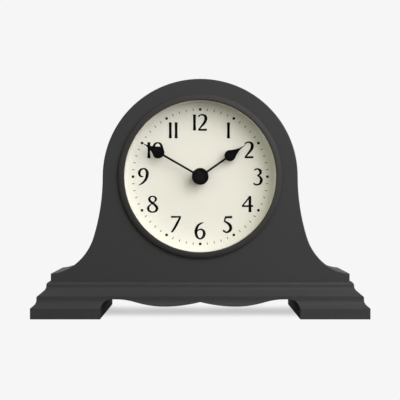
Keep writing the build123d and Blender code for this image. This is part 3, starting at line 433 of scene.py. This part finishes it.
def metal(name, code, grain, rough, bump=0.003, spread=0.08):
    """Bare metal: its own colour in the reflection, with fine working marks that vary its gloss. Such marks
    are about 0.1 mm, and the grain draws them coarser so that they show. Grain and bump are millimetres."""
    material, tree, place = new_material(name)
    marks = put(tree, "TexNoise", Vector=place, Scale=per(grain), Detail=4.0, Roughness=0.6)
    dark, light = shades(linear(code), spread)
    shader = put(
        tree,
        "BsdfPrincipled",
        Base_Color=put(tree, "Mix", data_type="RGBA", Factor_Float=marks, A_Color=dark, B_Color=light),
        Metallic=1.0,
        Roughness=put(tree, "MapRange", Value=marks, To_Min=rough - 0.07, To_Max=rough + 0.07),
        Normal=put(tree, "Bump", Height=marks, Distance=bump * MM),
    )
    put(tree, "OutputMaterial", Surface=shader)
    return material


def beech():
    """Turned beech: pale brown with short fine rays along the dowel."""
    material, tree, place = new_material("Beech")
    along = put(tree, "Mapping", Vector=place, Scale=(1, 1, 0.12))
    rays = put(tree, "TexNoise", Vector=along, Scale=per(0.6), Detail=4.0, Roughness=0.6)
    dark, light = linear("#a9784a"), linear("#d3a878")
    shader = put(
        tree,
        "BsdfPrincipled",
        Base_Color=put(tree, "Mix", data_type="RGBA", Factor_Float=rays, A_Color=dark, B_Color=light),
        Roughness=put(tree, "MapRange", Value=rays, To_Min=0.5, To_Max=0.65),
        Normal=put(tree, "Bump", Height=rays, Distance=0.02 * MM),
    )
    put(tree, "OutputMaterial", Surface=shader)
    return material


def moulded_plastic(name, code, grain, rough, bump, spread=0.08):
    """Injection-moulded plastic: one colour through, with the even grain of the mould's surface. A mould's
    grain is about 0.1 mm, drawn coarser so that it shows. Grain and bump are millimetres."""
    material, tree, place = new_material(name)
    skin = put(tree, "TexNoise", Vector=place, Scale=per(grain))
    # The tone drifts over about twenty grains.
    cloud = put(tree, "TexNoise", Vector=place, Scale=per(20 * grain))
    dark, light = shades(linear(code), spread)
    shader = put(
        tree,
        "BsdfPrincipled",
        Base_Color=put(tree, "Mix", data_type="RGBA", Factor_Float=cloud, A_Color=dark, B_Color=light),
        Roughness=put(tree, "MapRange", Value=skin, To_Min=rough - 0.06, To_Max=rough + 0.06),
        Normal=put(tree, "Bump", Height=skin, Distance=bump * MM),
    )
    put(tree, "OutputMaterial", Surface=shader)
    return material


def copper_winding():
    """Enamelled copper wire in close turns. The wire is 0.06 mm, and the turns are drawn at 0.4 mm so that
    they show."""
    material, tree, place = new_material("Enamelled copper wire")
    turns = put(
        tree,
        "TexWave",
        "Fac",
        wave_type="BANDS",
        bands_direction="Z",
        Vector=place,
        Scale=per_wave(0.4),
        Distortion=0.6,
    )
    dark, light = linear("#7a3316"), linear("#cf7a45")
    shader = put(
        tree,
        "BsdfPrincipled",
        Base_Color=put(tree, "Mix", data_type="RGBA", Factor_Float=turns, A_Color=dark, B_Color=light),
        Metallic=1.0,
        Roughness=0.34,
        Normal=put(tree, "Bump", Height=turns, Distance=0.08 * MM),
    )
    put(tree, "OutputMaterial", Surface=shader)
    return material


def circuit_laminate():
    """Green solder mask over copper tracks on glass laminate, with the black resin dome of the chip."""
    material, tree, place = new_material("Circuit laminate")
    flat = put(tree, "Mapping", Vector=place, Rotation=(math.pi / 2, 0, 0))
    tracks = put(
        tree,
        "TexBrick",
        Vector=flat,
        Color1=linear("#0f4a26"),
        Color2=linear("#0d4222"),
        Mortar=linear("#2f7d46"),
        Scale=per(4),
        Mortar_Size=0.03,
        Brick_Width=1.4,
        Row_Height=0.35,
    )
    depth = put(tree, "SeparateXYZ", "Y", Vector=place)
    board_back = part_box("quartz_crystal")[0].y
    start, end = board_back - 0.05 * MM, board_back + 0.02 * MM
    dome = put(tree, "MapRange", Value=depth, From_Min=start, From_Max=end)
    resin = linear("#0b0b0c")
    weave = put(tree, "TexNoise", Vector=place, Scale=per(0.8))
    shader = put(
        tree,
        "BsdfPrincipled",
        Base_Color=put(tree, "Mix", data_type="RGBA", Factor_Float=dome, A_Color=tracks, B_Color=resin),
        Roughness=put(tree, "MapRange", Value=weave, To_Min=0.3, To_Max=0.42),
        Normal=put(tree, "Bump", Height=tracks.node.outputs["Fac"], Distance=0.03 * MM),
    )
    put(tree, "OutputMaterial", Surface=shader)
    return material


def battery_sleeve():
    """Printed plastic sleeve on a nickel-plated can: a dark body, a pale band at the button end, and the bare
    metal ends."""
    material, tree, place = new_material("Battery sleeve")
    low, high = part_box("battery")
    along = put(tree, "SeparateXYZ", "X", Vector=place)
    bare_base, pale_band, button = 0.9 * MM, 11 * MM, 1.8 * MM
    sleeve_start, band_start, sleeve_end = low.x + bare_base, high.x - pale_band, high.x - button
    band = put(tree, "Math", operation="GREATER_THAN", Value=along, Value_001=band_start)
    body, pale, nickel = linear("#26352c"), linear("#b9bfb4"), linear("#c9c5bb")
    print_colour = put(tree, "Mix", data_type="RGBA", Factor_Float=band, A_Color=body, B_Color=pale)
    before = put(tree, "Math", operation="LESS_THAN", Value=along, Value_001=sleeve_start)
    beyond = put(tree, "Math", operation="GREATER_THAN", Value=along, Value_001=sleeve_end)
    can = put(tree, "Math", operation="MAXIMUM", Value=before, Value_001=beyond)
    scuffs = put(tree, "TexNoise", Vector=place, Scale=per(2.5), Detail=4.0)
    shader = put(
        tree,
        "BsdfPrincipled",
        Base_Color=put(tree, "Mix", data_type="RGBA", Factor_Float=can, A_Color=print_colour, B_Color=nickel),
        Metallic=can,
        Roughness=put(tree, "MapRange", Value=scuffs, To_Min=0.26, To_Max=0.4),
        Normal=put(tree, "Bump", Height=scuffs, Distance=0.01 * MM),
    )
    put(tree, "OutputMaterial", Surface=shader)
    return material


def grid_faces(rows, columns):
    """Quads of a grid of points counted row by row, closed round each row."""
    row = np.arange(rows - 1)[:, None]
    column = np.arange(columns)[None, :]
    following = (column + 1) % columns
    corners = [row * columns + column, row * columns + following]
    corners += [(row + 1) * columns + following, (row + 1) * columns + column]
    return np.stack(np.broadcast_arrays(*corners), -1).reshape(-1, 4)


def joined(parts):
    """One set of points and quads from several."""
    counts = [0, *np.cumsum([len(points) for points, _ in parts])[:-1]]
    quads = [faces + count for (_, faces), count in zip(parts, counts)]
    return np.vstack([points for points, _ in parts]), np.vstack(quads)


def new_piece(name, points, faces, material, slot, body="case"):
    """Object of a closed surface: doubles merged, faces turned outwards, riding on a body."""
    mesh = bpy.data.meshes.new(name)
    mesh.from_pydata(points.tolist(), [], faces.tolist())
    work = bmesh.new()
    work.from_mesh(mesh)
    bmesh.ops.remove_doubles(work, verts=work.verts, dist=MERGE_DISTANCE)
    bmesh.ops.recalc_face_normals(work, faces=work.faces)
    work.to_mesh(mesh)
    work.free()
    mesh.shade_flat()
    piece = bpy.data.objects.new(name, mesh)
    bpy.context.scene.collection.objects.link(piece)
    mesh.materials.append(material)
    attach(piece, body)
    return piece


def mesh_values(items, name, width, kind):
    """One property of all of a mesh's points, edges, faces or corners, with a row of that width for each."""
    values = np.empty(width * len(items), dtype=kind)
    items.foreach_get(name, values)
    return values.reshape(-1, width)


def outer_edges(mesh, reach):
    """Sorts the sharp edges into two masks: those that lie less deep than reach from the sides of the mesh's
    box, and the others. The depth is measured across the box's two longer ways, which leaves the holes among
    the others."""
    points = mesh_values(mesh.vertices, "co", 3, float)
    normals = mesh_values(mesh.polygons, "normal", 3, float)
    corners = mesh_values(mesh.polygons, "loop_total", 1, np.int32)[:, 0]
    edges = mesh_values(mesh.loops, "edge_index", 1, np.int32)[:, 0]
    ends = mesh_values(mesh.edges, "vertices", 2, np.int32)
    # Sorted by edge, the faces of the corners come in pairs: the two faces that meet at each edge.
    owners = np.repeat(np.arange(len(corners)), corners)
    faces = owners[np.argsort(edges, kind="stable")].reshape(-1, 2)
    sharp = (normals[faces[:, 0]] * normals[faces[:, 1]]).sum(axis=1) < math.cos(SHARP_ANGLE)
    middles = points[ends].mean(axis=1)
    low = points.min(axis=0)
    high = points.max(axis=0)
    depths = np.minimum(middles - low, high - middles)
    outer = np.delete(depths, np.argmin(high - low), axis=1).min(axis=1) < reach
    return sharp & outer, sharp & ~outer


def softened(node, width, material, body="case", reach=math.inf):
    """Stands for a CAD node: its triangles with doubles merged, flat facets joined into one face each, and
    its outer edges rounded by a Bevel modifier. The edges of holes deeper inside stay sharp."""
    source = NODES[node].data
    source.calc_loop_triangles()
    points = mesh_values(source.vertices, "co", 3, float)
    corners = mesh_values(source.loop_triangles, "vertices", 3, np.int32)
    steps, place = np.unique(np.round(points / MERGE_STEP).astype(np.int64), axis=0, return_inverse=True)
    triangles = place.reshape(-1)[corners]
    whole = (triangles != np.roll(triangles, 1, axis=1)).all(axis=1)
    mesh = bpy.data.meshes.new(node + "_soft")
    mesh.from_pydata((steps * MERGE_STEP).tolist(), [], triangles[whole].tolist())
    work = bmesh.new()
    work.from_mesh(mesh)
    bmesh.ops.dissolve_limit(
        work, angle_limit=FLAT_ANGLE, verts=work.verts, edges=work.edges, use_dissolve_boundaries=False
    )
    work.to_mesh(mesh)
    work.free()
    mesh.shade_smooth()
    rounded, kept = outer_edges(mesh, reach)
    weights = mesh.attributes.new("bevel_weight_edge", "FLOAT", "EDGE")
    weights.data.foreach_set("value", rounded.astype(np.float32))
    mesh.attributes.new("sharp_edge", "BOOLEAN", "EDGE").data.foreach_set("value", kept)
    piece = bpy.data.objects.new(node + "_soft", mesh)
    bpy.context.scene.collection.objects.link(piece)
    mesh.materials.append(material)
    bevel = piece.modifiers.new("Soft edges", "BEVEL")
    bevel.width = width
    bevel.segments = 3
    bevel.limit_method = "WEIGHT"
    bevel.harden_normals = True
    bevel.use_clamp_overlap = False
    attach(piece, body)
    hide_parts(node)
    return piece


def dress(material, *nodes):
    """Gives a material to CAD nodes that keep their own shape."""
    for node in nodes:
        mesh = NODES[node].data
        mesh.materials.clear()
        mesh.materials.append(material)


def pen_path(knots, steps=10):
    """Smooth stroke through knots of x, y and width: each span is a cubic whose slopes at its ends are half
    the difference of the knots on either side (Catmull-Rom)."""
    knots = np.asarray(knots, float)
    spare = np.vstack([2 * knots[0] - knots[1], knots, 2 * knots[-1] - knots[-2]])
    a, b, c, d = spare[:-3, None], spare[1:-2, None], spare[2:-1, None], spare[3:, None]
    t = np.linspace(0, 1, steps, endpoint=False)[None, :, None]
    spans = 2 * b + (c - a) * t + (2 * a - 5 * b + 4 * c - d) * t**2 + (3 * b - a - 3 * c + d) * t**3
    return np.vstack([spans.reshape(-1, 3) / 2, knots[-1]])


def raised_bar(path, middle, base, top):
    """Thin closed bar along a path of x, y and width in millimetres about a middle: at each point half the
    width to the left and to the right across the path, from a base depth to a top depth."""
    spots = path[:, :2]
    along = np.gradient(spots, axis=0)
    along /= np.linalg.norm(along, axis=1, keepdims=True)
    across = np.stack([-along[:, 1], along[:, 0]], axis=1) * path[:, 2:] / 2
    left, right = (spots + across) * MM, (spots - across) * MM
    sides = np.stack([left, left, right, right], axis=1)
    points = np.empty((len(path), 4, 3))
    points[..., 0] = middle[0] * MM + sides[..., 0]
    points[..., 1] = np.array([base, top, top, base])
    points[..., 2] = DIAL_Z + middle[1] * MM + sides[..., 1]
    ends = np.array([[3, 2, 1, 0], [0, 1, 2, 3]]) + np.array([[0], [4 * (len(path) - 1)]])
    return points.reshape(-1, 3), np.vstack([grid_faces(len(path), 4), ends])


# Numerals in millimetres: strokes of x, y and pen width, with the origin at the figure's middle
FIGURES = {
    "0": [
        [(0.0, 6.9, 0.9), (-2.7, 5.2, 1.5), (-3.95, 0.6, 1.95), (-2.7, -5.0, 1.6), (0.0, -6.9, 0.95)],
        [(0.0, 6.9, 0.9), (2.7, 5.1, 1.55), (3.95, -0.4, 1.95), (2.7, -5.1, 1.55), (0.0, -6.9, 0.95)],
    ],
    "1": [[(0.0, 7.1, 2.1), (0.0, 5.0, 1.85), (0.0, 0.0, 1.7), (0.0, -5.0, 1.85), (0.0, -7.1, 2.1)]],
    "2": [
        [
            (-3.7, 4.9, 0.9),
            (-2.3, 6.3, 0.9),
            (0.0, 6.75, 1.05),
            (2.25, 5.7, 1.7),
            (3.0, 3.4, 2.0),
            (2.2, 0.5, 1.8),
            (0.0, -2.5, 1.35),
            (-2.6, -5.6, 1.0),
            (-3.5, -6.6, 0.9),
        ],
        [(-3.8, -6.65, 1.25), (0.5, -6.65, 1.35), (4.0, -6.6, 1.45)],
    ],
    "3": [
        [
            (-3.05, 5.7, 0.9),
            (-1.8, 6.7, 0.9),
            (0.0, 6.95, 1.05),
            (1.9, 5.9, 1.6),
            (2.55, 4.2, 1.8),
            (1.8, 2.3, 1.3),
            (-0.4, 1.05, 0.6),
        ],
        [
            (-0.4, 1.05, 0.6),
            (1.6, 0.2, 1.2),
            (3.0, -1.7, 1.65),
            (3.2, -3.4, 1.9),
            (2.1, -5.9, 1.5),
            (0.0, -7.0, 1.05),
            (-2.05, -6.85, 1.05),
            (-3.8, -5.7, 1.05),
        ],
    ],
    "4": [
        [(2.2, 7.15, 1.6), (2.2, 3.0, 1.8), (2.2, -3.0, 1.8), (2.2, -7.3, 2.05)],
        [(2.4, 6.9, 1.15), (-1.0, 2.6, 1.0), (-4.6, -1.9, 1.0)],
        [(-4.9, -1.95, 1.1), (0.0, -1.85, 1.2), (5.0, -1.7, 1.3)],
    ],
    "5": [
        [(-2.2, 6.45, 1.4), (1.0, 6.5, 1.4), (4.0, 6.6, 1.6)],
        [(-1.9, 6.4, 1.15), (-2.4, 4.6, 1.1), (-2.85, 2.7, 1.1)],
        [
            (-2.85, 2.8, 1.05),
            (-0.85, 1.8, 1.35),
            (1.7, -0.3, 1.9),
            (2.75, -3.0, 2.0),
            (1.75, -5.6, 1.7),
            (-0.6, -6.9, 1.2),
            (-2.55, -6.35, 1.2),
            (-4.1, -5.1, 1.2),
        ],
    ],
    "6": [
        [
            (3.05, 7.4, 0.55),
            (0.85, 6.7, 1.0),
            (-1.9, 4.7, 1.55),
            (-3.5, 1.0, 1.9),
            (-3.65, -2.1, 1.9),
            (-2.6, -5.3, 1.55),
            (0.0, -7.0, 1.0),
            (2.6, -5.5, 1.55),
            (3.7, -2.6, 1.85),
            (2.9, 0.2, 1.55),
            (0.65, 1.45, 1.0),
            (-1.5, 0.8, 0.85),
            (-3.2, -0.9, 0.6),
        ],
    ],
    "7": [
        [(-4.35, 6.55, 1.25), (0.0, 6.6, 1.15), (4.4, 6.75, 1.0)],
        [(4.0, 6.6, 1.25), (1.2, 1.0, 1.55), (-1.6, -4.0, 1.45), (-3.9, -7.1, 1.1)],
    ],
    "8": [
        [
            (0.2, 0.85, 1.5),
            (-2.1, 2.7, 1.6),
            (-3.0, 4.7, 1.55),
            (-1.95, 6.45, 1.1),
            (0.0, 7.0, 0.85),
            (2.0, 6.45, 1.15),
            (2.95, 4.7, 1.45),
            (2.2, 2.8, 1.05),
            (0.0, 1.0, 0.75),
            (-2.7, -1.1, 1.05),
            (-4.0, -3.6, 1.6),
            (-2.9, -6.0, 1.35),
            (0.0, -6.95, 0.9),
            (2.85, -6.0, 1.4),
            (3.9, -3.5, 1.75),
            (2.6, -1.2, 1.65),
            (0.2, 0.85, 1.5),
        ],
    ],
    "9": [
        [
            (-4.2, -7.4, 0.35),
            (-2.4, -6.6, 0.8),
            (0.1, -4.9, 1.3),
            (2.5, -1.7, 1.75),
            (3.6, 2.4, 2.0),
            (3.1, 5.2, 1.75),
            (1.7, 6.8, 1.2),
            (0.0, 7.25, 0.95),
            (-2.5, 6.1, 1.4),
            (-3.6, 3.6, 1.75),
            (-2.95, 1.2, 1.45),
            (-1.45, 0.15, 1.0),
            (0.1, 0.15, 0.5),
        ],
    ],
}

# Each figure on the dial, with its middle in millimetres right of and above the hands' centre
DIAL_FIGURES = [
    ("1", -5.1, 48.2),
    ("2", 2.0, 48.3),
    ("1", 25.1, 41.1),
    ("2", 43.3, 23.9),
    ("3", 51.1, -0.1),
    ("4", 42.0, -24.3),
    ("5", 24.4, -42.5),
    ("6", -0.1, -48.2),
    ("7", -21.6, -42.3),
    ("8", -42.3, -24.5),
    ("9", -50.6, -0.1),
    ("1", -45.6, 23.5),
    ("0", -37.7, 23.5),
    ("1", -26.6, 41.2),
    ("1", -21.4, 41.2),
]


class CLOCK_OT_case(Operator):
    """Paint the case and round the plinth's edges"""

    bl_idname = "clock.case"
    bl_label = "Painted case"

    def execute(self, context):
        paint = painted_mdf(context.scene.clock_colours.paint)
        dress(paint, "case_body")
        edges = context.scene.clock_edges
        softened("plinth_moulding", edges.moulding, paint, reach=edges.wood_reach)
        softened("base_board", edges.base, paint, reach=edges.wood_reach)
        return {"FINISHED"}


class CLOCK_OT_bezel(Operator):
    """Finish the bezel and its glass"""

    bl_idname = "clock.bezel"
    bl_label = "Bezel and glass"

    def execute(self, context):
        dress(lacquered_steel(context.scene.clock_colours.bezel), "bezel_ring")
        pane = softened("glass_lens", context.scene.clock_edges.glass, float_glass())
        # The pane is drawn a hair thinner, so that its back and the spacer's rim don't share one plane.
        thinner = pane.modifiers.new("Thinner", "DISPLACE")
        thinner.mid_level = 0
        thinner.strength = -context.scene.clock_edges.glass_gap
        return {"FINISHED"}


class CLOCK_OT_dial(Operator):
    """Enamel the dial and print its numerals, dots and ticks"""

    bl_idname = "clock.dial"
    bl_label = "Dial"

    def execute(self, context):
        colours, sizes = context.scene.clock_colours, context.scene.clock_print
        dress(dial_enamel(colours.dial), "dial_plate")
        dress(moulded_polystyrene(colours.spacer), "dial_spacer")
        ink = printed_ink("Printed black ink", colours.ink)
        grey = printed_ink("Printed grey ink", colours.tick_ink)
        new_piece("dial_numerals", *self.numerals(sizes), ink, "hand_black")
        new_piece("hour_dots", *self.dots(sizes), ink, "hand_black")
        new_piece("minute_ticks", *self.ticks(sizes), grey, "hand_black")
        return {"FINISHED"}

    @staticmethod
    def numerals(sizes):
        """Numerals: a raised bar of ink for each pen stroke of each figure."""
        scale = sizes.numeral_scale * np.array((1, 1, sizes.pen_weight))
        top = DIAL_FRONT - sizes.ink_thickness
        return joined(
            [
                raised_bar(pen_path(knots) * scale, (right, up), DIAL_FRONT, top)
                for figure, right, up in DIAL_FIGURES
                for knots in FIGURES[figure]
            ]
        )

    @staticmethod
    def dots(sizes, rings=4, sides=20, sunk=0.01 * MM):
        """Hour dots: discs of ink, a radius and an angle each, whose thickness falls to nothing at the rim as
        one less the fourth power of the radius. They are sunk a hair into the dial and stand at every
        twelfth of the track."""
        share = np.linspace(0, 1, rings + 1)[:, None]
        angle = np.linspace(0, 2 * math.pi, sides, endpoint=False)[None, :]
        right = (share * np.cos(angle) * sizes.dot_radius)[..., None]
        up = (share * np.sin(angle) * sizes.dot_radius)[..., None]
        out = np.broadcast_to(sizes.ink_thickness * (1 - share**4), right.shape[:2])[..., None]
        front = np.concatenate([right, DIAL_FRONT - out, up], axis=-1)
        back = front[::-1].copy()
        back[..., 1] = DIAL_FRONT + sunk
        shell = np.concatenate([front, back])
        faces = grid_faces(len(shell), sides)
        hours = np.arange(12) * math.pi / 6
        centres = np.stack([np.sin(hours), 0 * hours, np.cos(hours)], axis=1) * sizes.track_radius
        centres[:, 2] += DIAL_Z
        return joined([(shell.reshape(-1, 3) + centre, faces) for centre in centres])

    @staticmethod
    def ticks(sizes):
        """Minute ticks: short bars along the radius at every sixtieth of the track that has no dot."""
        half, width = sizes.tick_length / 2, sizes.tick_width / MM
        top = DIAL_FRONT - sizes.ink_thickness
        bars = []
        for minute in filter(lambda number: number % 5, range(60)):
            heading = np.array([math.sin(minute * math.pi / 30), math.cos(minute * math.pi / 30)])
            ends = [heading * (sizes.track_radius + side * half) / MM for side in (-1, 1)]
            bars.append(raised_bar(np.array([(*end, width) for end in ends]), (0, 0), DIAL_FRONT, top))
        return joined(bars)


class CLOCK_OT_hands(Operator):
    """Lacquer the hands and their cap"""

    bl_idname = "clock.hands"
    bl_label = "Hands"

    def execute(self, context):
        lacquer = black_lacquer(context.scene.clock_colours.hands)
        dress(lacquer, "hour_hand", "minute_hand")
        softened("hand_cap", context.scene.clock_edges.cap, lacquer, "minute")
        return {"FINISHED"}


class CLOCK_OT_fixings(Operator):
    """Finish the felt pads, screws, dowels and the centre fixing"""

    bl_idname = "clock.fixings"
    bl_label = "Fixings"

    def execute(self, context):
        dress(pressed_felt(), "foot_pads")
        dress(metal("Zinc-plated steel", "#b7babd", 1.2, 0.36), "case_screws")
        dress(beech(), "locating_dowels")
        brass = metal("Turned brass", "#c8a252", 0.8, 0.3)
        dress(brass, "threaded_bush", "nut_washer")
        softened("hex_nut", context.scene.clock_edges.metal, brass)
        dress(moulded_plastic("Moulded rubber", "#1a1a1a", 0.5, 0.85, 0.01), "rubber_gasket")
        return {"FINISHED"}


class CLOCK_OT_movement(Operator):
    """Finish the movement: housing, wheels, motor, board and battery"""

    bl_idname = "clock.movement"
    bl_label = "Movement"

    def execute(self, context):
        edges = context.scene.clock_edges
        abs_black = moulded_plastic("Black ABS", "#2b2b2d", 0.4, 0.52, 0.012)
        for node in ("movement_shell", "movement_cover"):
            softened(node, edges.plastic, abs_black, reach=edges.plastic_reach)
        dress(abs_black, "setting_knob")
        new_piece("polarity_marks", *self.polarity_marks(), abs_black, "black_abs")
        acetal = moulded_plastic("White acetal", "#e4e2d8", 0.5, 0.4, 0.002, 0.03)
        dress(acetal, "bearing_plate", "hour_wheel", "minute_arbor", "motion_wheel", "centre_wheel")
        dress(acetal, "third_wheel", "seconds_wheel", "intermediate_wheel", "rotor", "coil_bobbin")
        dress(metal("Sintered ferrite", "#4a4a4d", 0.3, 0.6, 0.01, 0.2), "rotor_magnet")
        dress(metal("Soft iron", "#94969a", 0.6, 0.42), "stator", "coil_core")
        dress(copper_winding(), "coil_winding")
        dress(circuit_laminate(), "circuit_board")
        nickel = metal("Nickel plate", "#cdc7b9", 0.9, 0.22)
        dress(nickel, "quartz_crystal", "battery_contact_positive", "battery_contact_negative")
        dress(battery_sleeve(), "battery")
        return {"FINISHED"}

    @staticmethod
    def polarity_marks(half=2.0, width=0.8, sunk=0.05, raised=0.25, plus=(10, -8), minus=(-23, -8)):
        """Plus and minus moulded on the cover above the battery's ends: raised bars, two crossed at the
        button end and one at the other. Sizes are millimetres, and places are right of and above the hands'
        centre as seen from the front."""
        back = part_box("movement_cover")[1].y
        base, top = back - sunk * MM, back + raised * MM
        level = np.array([(-half, 0, width), (half, 0, width)])
        upright = level[:, [1, 0, 2]]
        bars = [(level, plus), (upright, plus), (level, minus)]
        return joined([raised_bar(path, middle, base, top) for path, middle in bars])


class CLOCK_OT_stage(Operator):
    """Set the floor, the lamps, the backdrop and the camera"""

    bl_idname = "clock.stage"
    bl_label = "Stage"

    def execute(self, context):
        sizes = context.scene.clock_stage
        context.scene.view_settings.view_transform = "Standard"
        self.floor(sizes)
        self.world(context.scene, sizes)
        tint = sizes.lamp_tint
        self.lamp("key_lamp", sizes.key_power, tint, heading=(0.9, -1.0, 0.58), distance=1.6, size=1.6)
        self.lamp("high_lamp", sizes.high_power, tint, heading=(0.6, -0.8, 1.0), distance=1.6, size=0.9)
        rear = self.lamp("back_lamp", sizes.back_power, tint, heading=(-0.2, 1.0, 0.3), distance=1.5, size=1)
        # Its light would glance off the tops towards the camera, so it is kept out of the gloss.
        rear.visible_glossy = False
        camera = bpy.data.objects.new("camera", bpy.data.cameras.new("camera"))
        context.scene.collection.objects.link(camera)
        camera.data.lens = sizes.lens
        camera.data.sensor_width = 36
        camera.data.shift_x = sizes.shift_right
        camera.data.shift_y = sizes.shift_up
        camera.location = (0, -sizes.camera_distance, sizes.camera_height)
        camera.rotation_euler = (math.pi / 2, 0, 0)
        context.scene.camera = camera
        return {"FINISHED"}

    @staticmethod
    def lamp(name, power, tint, heading, distance, size):
        """Square lamp at a distance in metres along a heading from the dial, turned to face it."""
        heading = Vector(heading).normalized()
        data = bpy.data.lights.new(name, "AREA")
        data.energy = power
        data.color = tint
        data.size = size
        lamp = bpy.data.objects.new(name, data)
        bpy.context.scene.collection.objects.link(lamp)
        lamp.location = Vector((0, 0, DIAL_Z)) + heading * distance
        lamp.rotation_euler = (-heading).to_track_quat("-Z", "Y").to_euler()
        lamp.visible_camera = False
        return lamp

    @staticmethod
    def floor(sizes, half=1.5, drop=0.02 * MM):
        """Square floor in the backdrop's own tone, which takes shadows only under the base. It lies a hair
        under the felt pads, so that they don't share one plane."""
        corners = np.array([(-1, -1, 0), (1, -1, 0), (1, 1, 0), (-1, 1, 0)]) * half - (0, 0, drop)
        mesh = bpy.data.meshes.new("floor")
        mesh.from_pydata(corners.tolist(), [], [(0, 1, 2, 3)])
        floor = bpy.data.objects.new("floor", mesh)
        bpy.context.scene.collection.objects.link(floor)
        material, tree, place = new_material("Studio floor")
        mesh.materials.append(material)
        core = (BASE_END - sizes.shadow_reach, sizes.shadow_core, 0)
        # How far a point lies outside the shadow's core: what is left of its x and y beyond the core's own.
        moved = put(tree, "Mapping", Vector=place, Location=(0, -sizes.shadow_offset, 0))
        mirrored = put(tree, "VectorMath", operation="ABSOLUTE", Vector=moved)
        beyond = put(tree, "VectorMath", operation="SUBTRACT", Vector=mirrored, Vector_001=core)
        outside = put(tree, "VectorMath", operation="MAXIMUM", Vector=beyond, Vector_001=(0, 0, 0))
        away = put(tree, "VectorMath", "Value", operation="LENGTH", Vector=outside)
        shaded = put(
            tree,
            "MapRange",
            interpolation_type="SMOOTHSTEP",
            Value=away,
            From_Max=sizes.shadow_reach,
            To_Min=sizes.shadow_share,
            To_Max=0.0,
        )
        glow = put(tree, "Emission", Color=sizes.backdrop)
        paper = put(tree, "BsdfDiffuse", Color=sizes.backdrop)
        seen = put(tree, "MixShader", Fac=shaded, Shader=glow, Shader_001=paper)
        dim = put(tree, "BsdfDiffuse", Color=sizes.bounce)
        camera = put(tree, "LightPath", "Is Camera Ray")
        put(tree, "OutputMaterial", Surface=put(tree, "MixShader", Fac=camera, Shader=dim, Shader_001=seen))

    @staticmethod
    def world(scene, sizes):
        """Backdrop colour for what the camera, gloss and glass see, and a plain ambient light."""
        world = bpy.data.worlds.new("studio")
        scene.world = world
        world.use_nodes = True
        tree = world.node_tree
        tree.nodes.clear()
        heading = put(tree, "TexCoord", "Generated")
        forward = put(tree, "SeparateXYZ", "Y", Vector=heading)
        # The room behind the camera is dim, so that the glass and paint don't mirror a white wall.
        room = put(tree, "MapRange", Value=forward, From_Min=-0.6, From_Max=0.3, To_Min=sizes.room)
        camera = put(tree, "LightPath", "Is Camera Ray")
        glossy = put(tree, "LightPath", "Is Glossy Ray")
        through = put(tree, "LightPath", "Is Transmission Ray")
        bent = put(tree, "Math", operation="MAXIMUM", Value=glossy, Value_001=through)
        mirrored = put(tree, "Math", operation="MULTIPLY", Value=bent, Value_001=room)
        bright = put(tree, "Math", operation="MAXIMUM", Value=camera, Value_001=mirrored)
        lit = put(tree, "Math", operation="MAXIMUM", Value=camera, Value_001=bent)
        # The ceiling is dimmer than the walls, so that slopes which face up stay dark.
        upward = put(tree, "SeparateXYZ", "Z", Vector=heading)
        dimmed = sizes.ambient * sizes.ceiling
        strength = put(tree, "MapRange", Value=upward, To_Min=sizes.ambient, To_Max=dimmed)
        plain = put(tree, "Background", Color=sizes.ambient_tint, Strength=strength)
        backdrop = put(tree, "Background", Color=sizes.backdrop, Strength=bright)
        put(tree, "OutputWorld", Surface=put(tree, "MixShader", Fac=lit, Shader=plain, Shader_001=backdrop))


STEPS = [
    CLOCK_OT_case,
    CLOCK_OT_bezel,
    CLOCK_OT_dial,
    CLOCK_OT_hands,
    CLOCK_OT_fixings,
    CLOCK_OT_movement,
    CLOCK_OT_stage,
]
SETTINGS = {
    "clock_colours": ClockColours,
    "clock_print": ClockPrint,
    "clock_edges": ClockEdges,
    "clock_stage": ClockStage,
}


class CLOCK_PT_panel(Panel):
    """Steps of the mantel clock, in order"""

    bl_idname = "CLOCK_PT_panel"
    bl_label = "Mantel clock"
    bl_space_type = "VIEW_3D"
    bl_region_type = "UI"
    bl_category = "Clock"

    def draw(self, context):
        for step in STEPS:
            self.layout.operator(step.bl_idname)
        for name, group in SETTINGS.items():
            for setting in group.__annotations__:
                self.layout.prop(getattr(context.scene, name), setting)


def register():
    for kind in [*SETTINGS.values(), *STEPS, CLOCK_PT_panel]:
        bpy.utils.register_class(kind)
    for name, group in SETTINGS.items():
        setattr(bpy.types.Scene, name, PointerProperty(type=group))


def unregister():
    for name in SETTINGS:
        delattr(bpy.types.Scene, name)
    for kind in reversed([*SETTINGS.values(), *STEPS, CLOCK_PT_panel]):
        bpy.utils.unregister_class(kind)


def main():
    register()
    bpy.ops.clock.case()
    bpy.ops.clock.bezel()
    bpy.ops.clock.dial()
    bpy.ops.clock.hands()
    bpy.ops.clock.fixings()
    bpy.ops.clock.movement()
    bpy.ops.clock.stage()


if __name__ == "__main__":
    main()
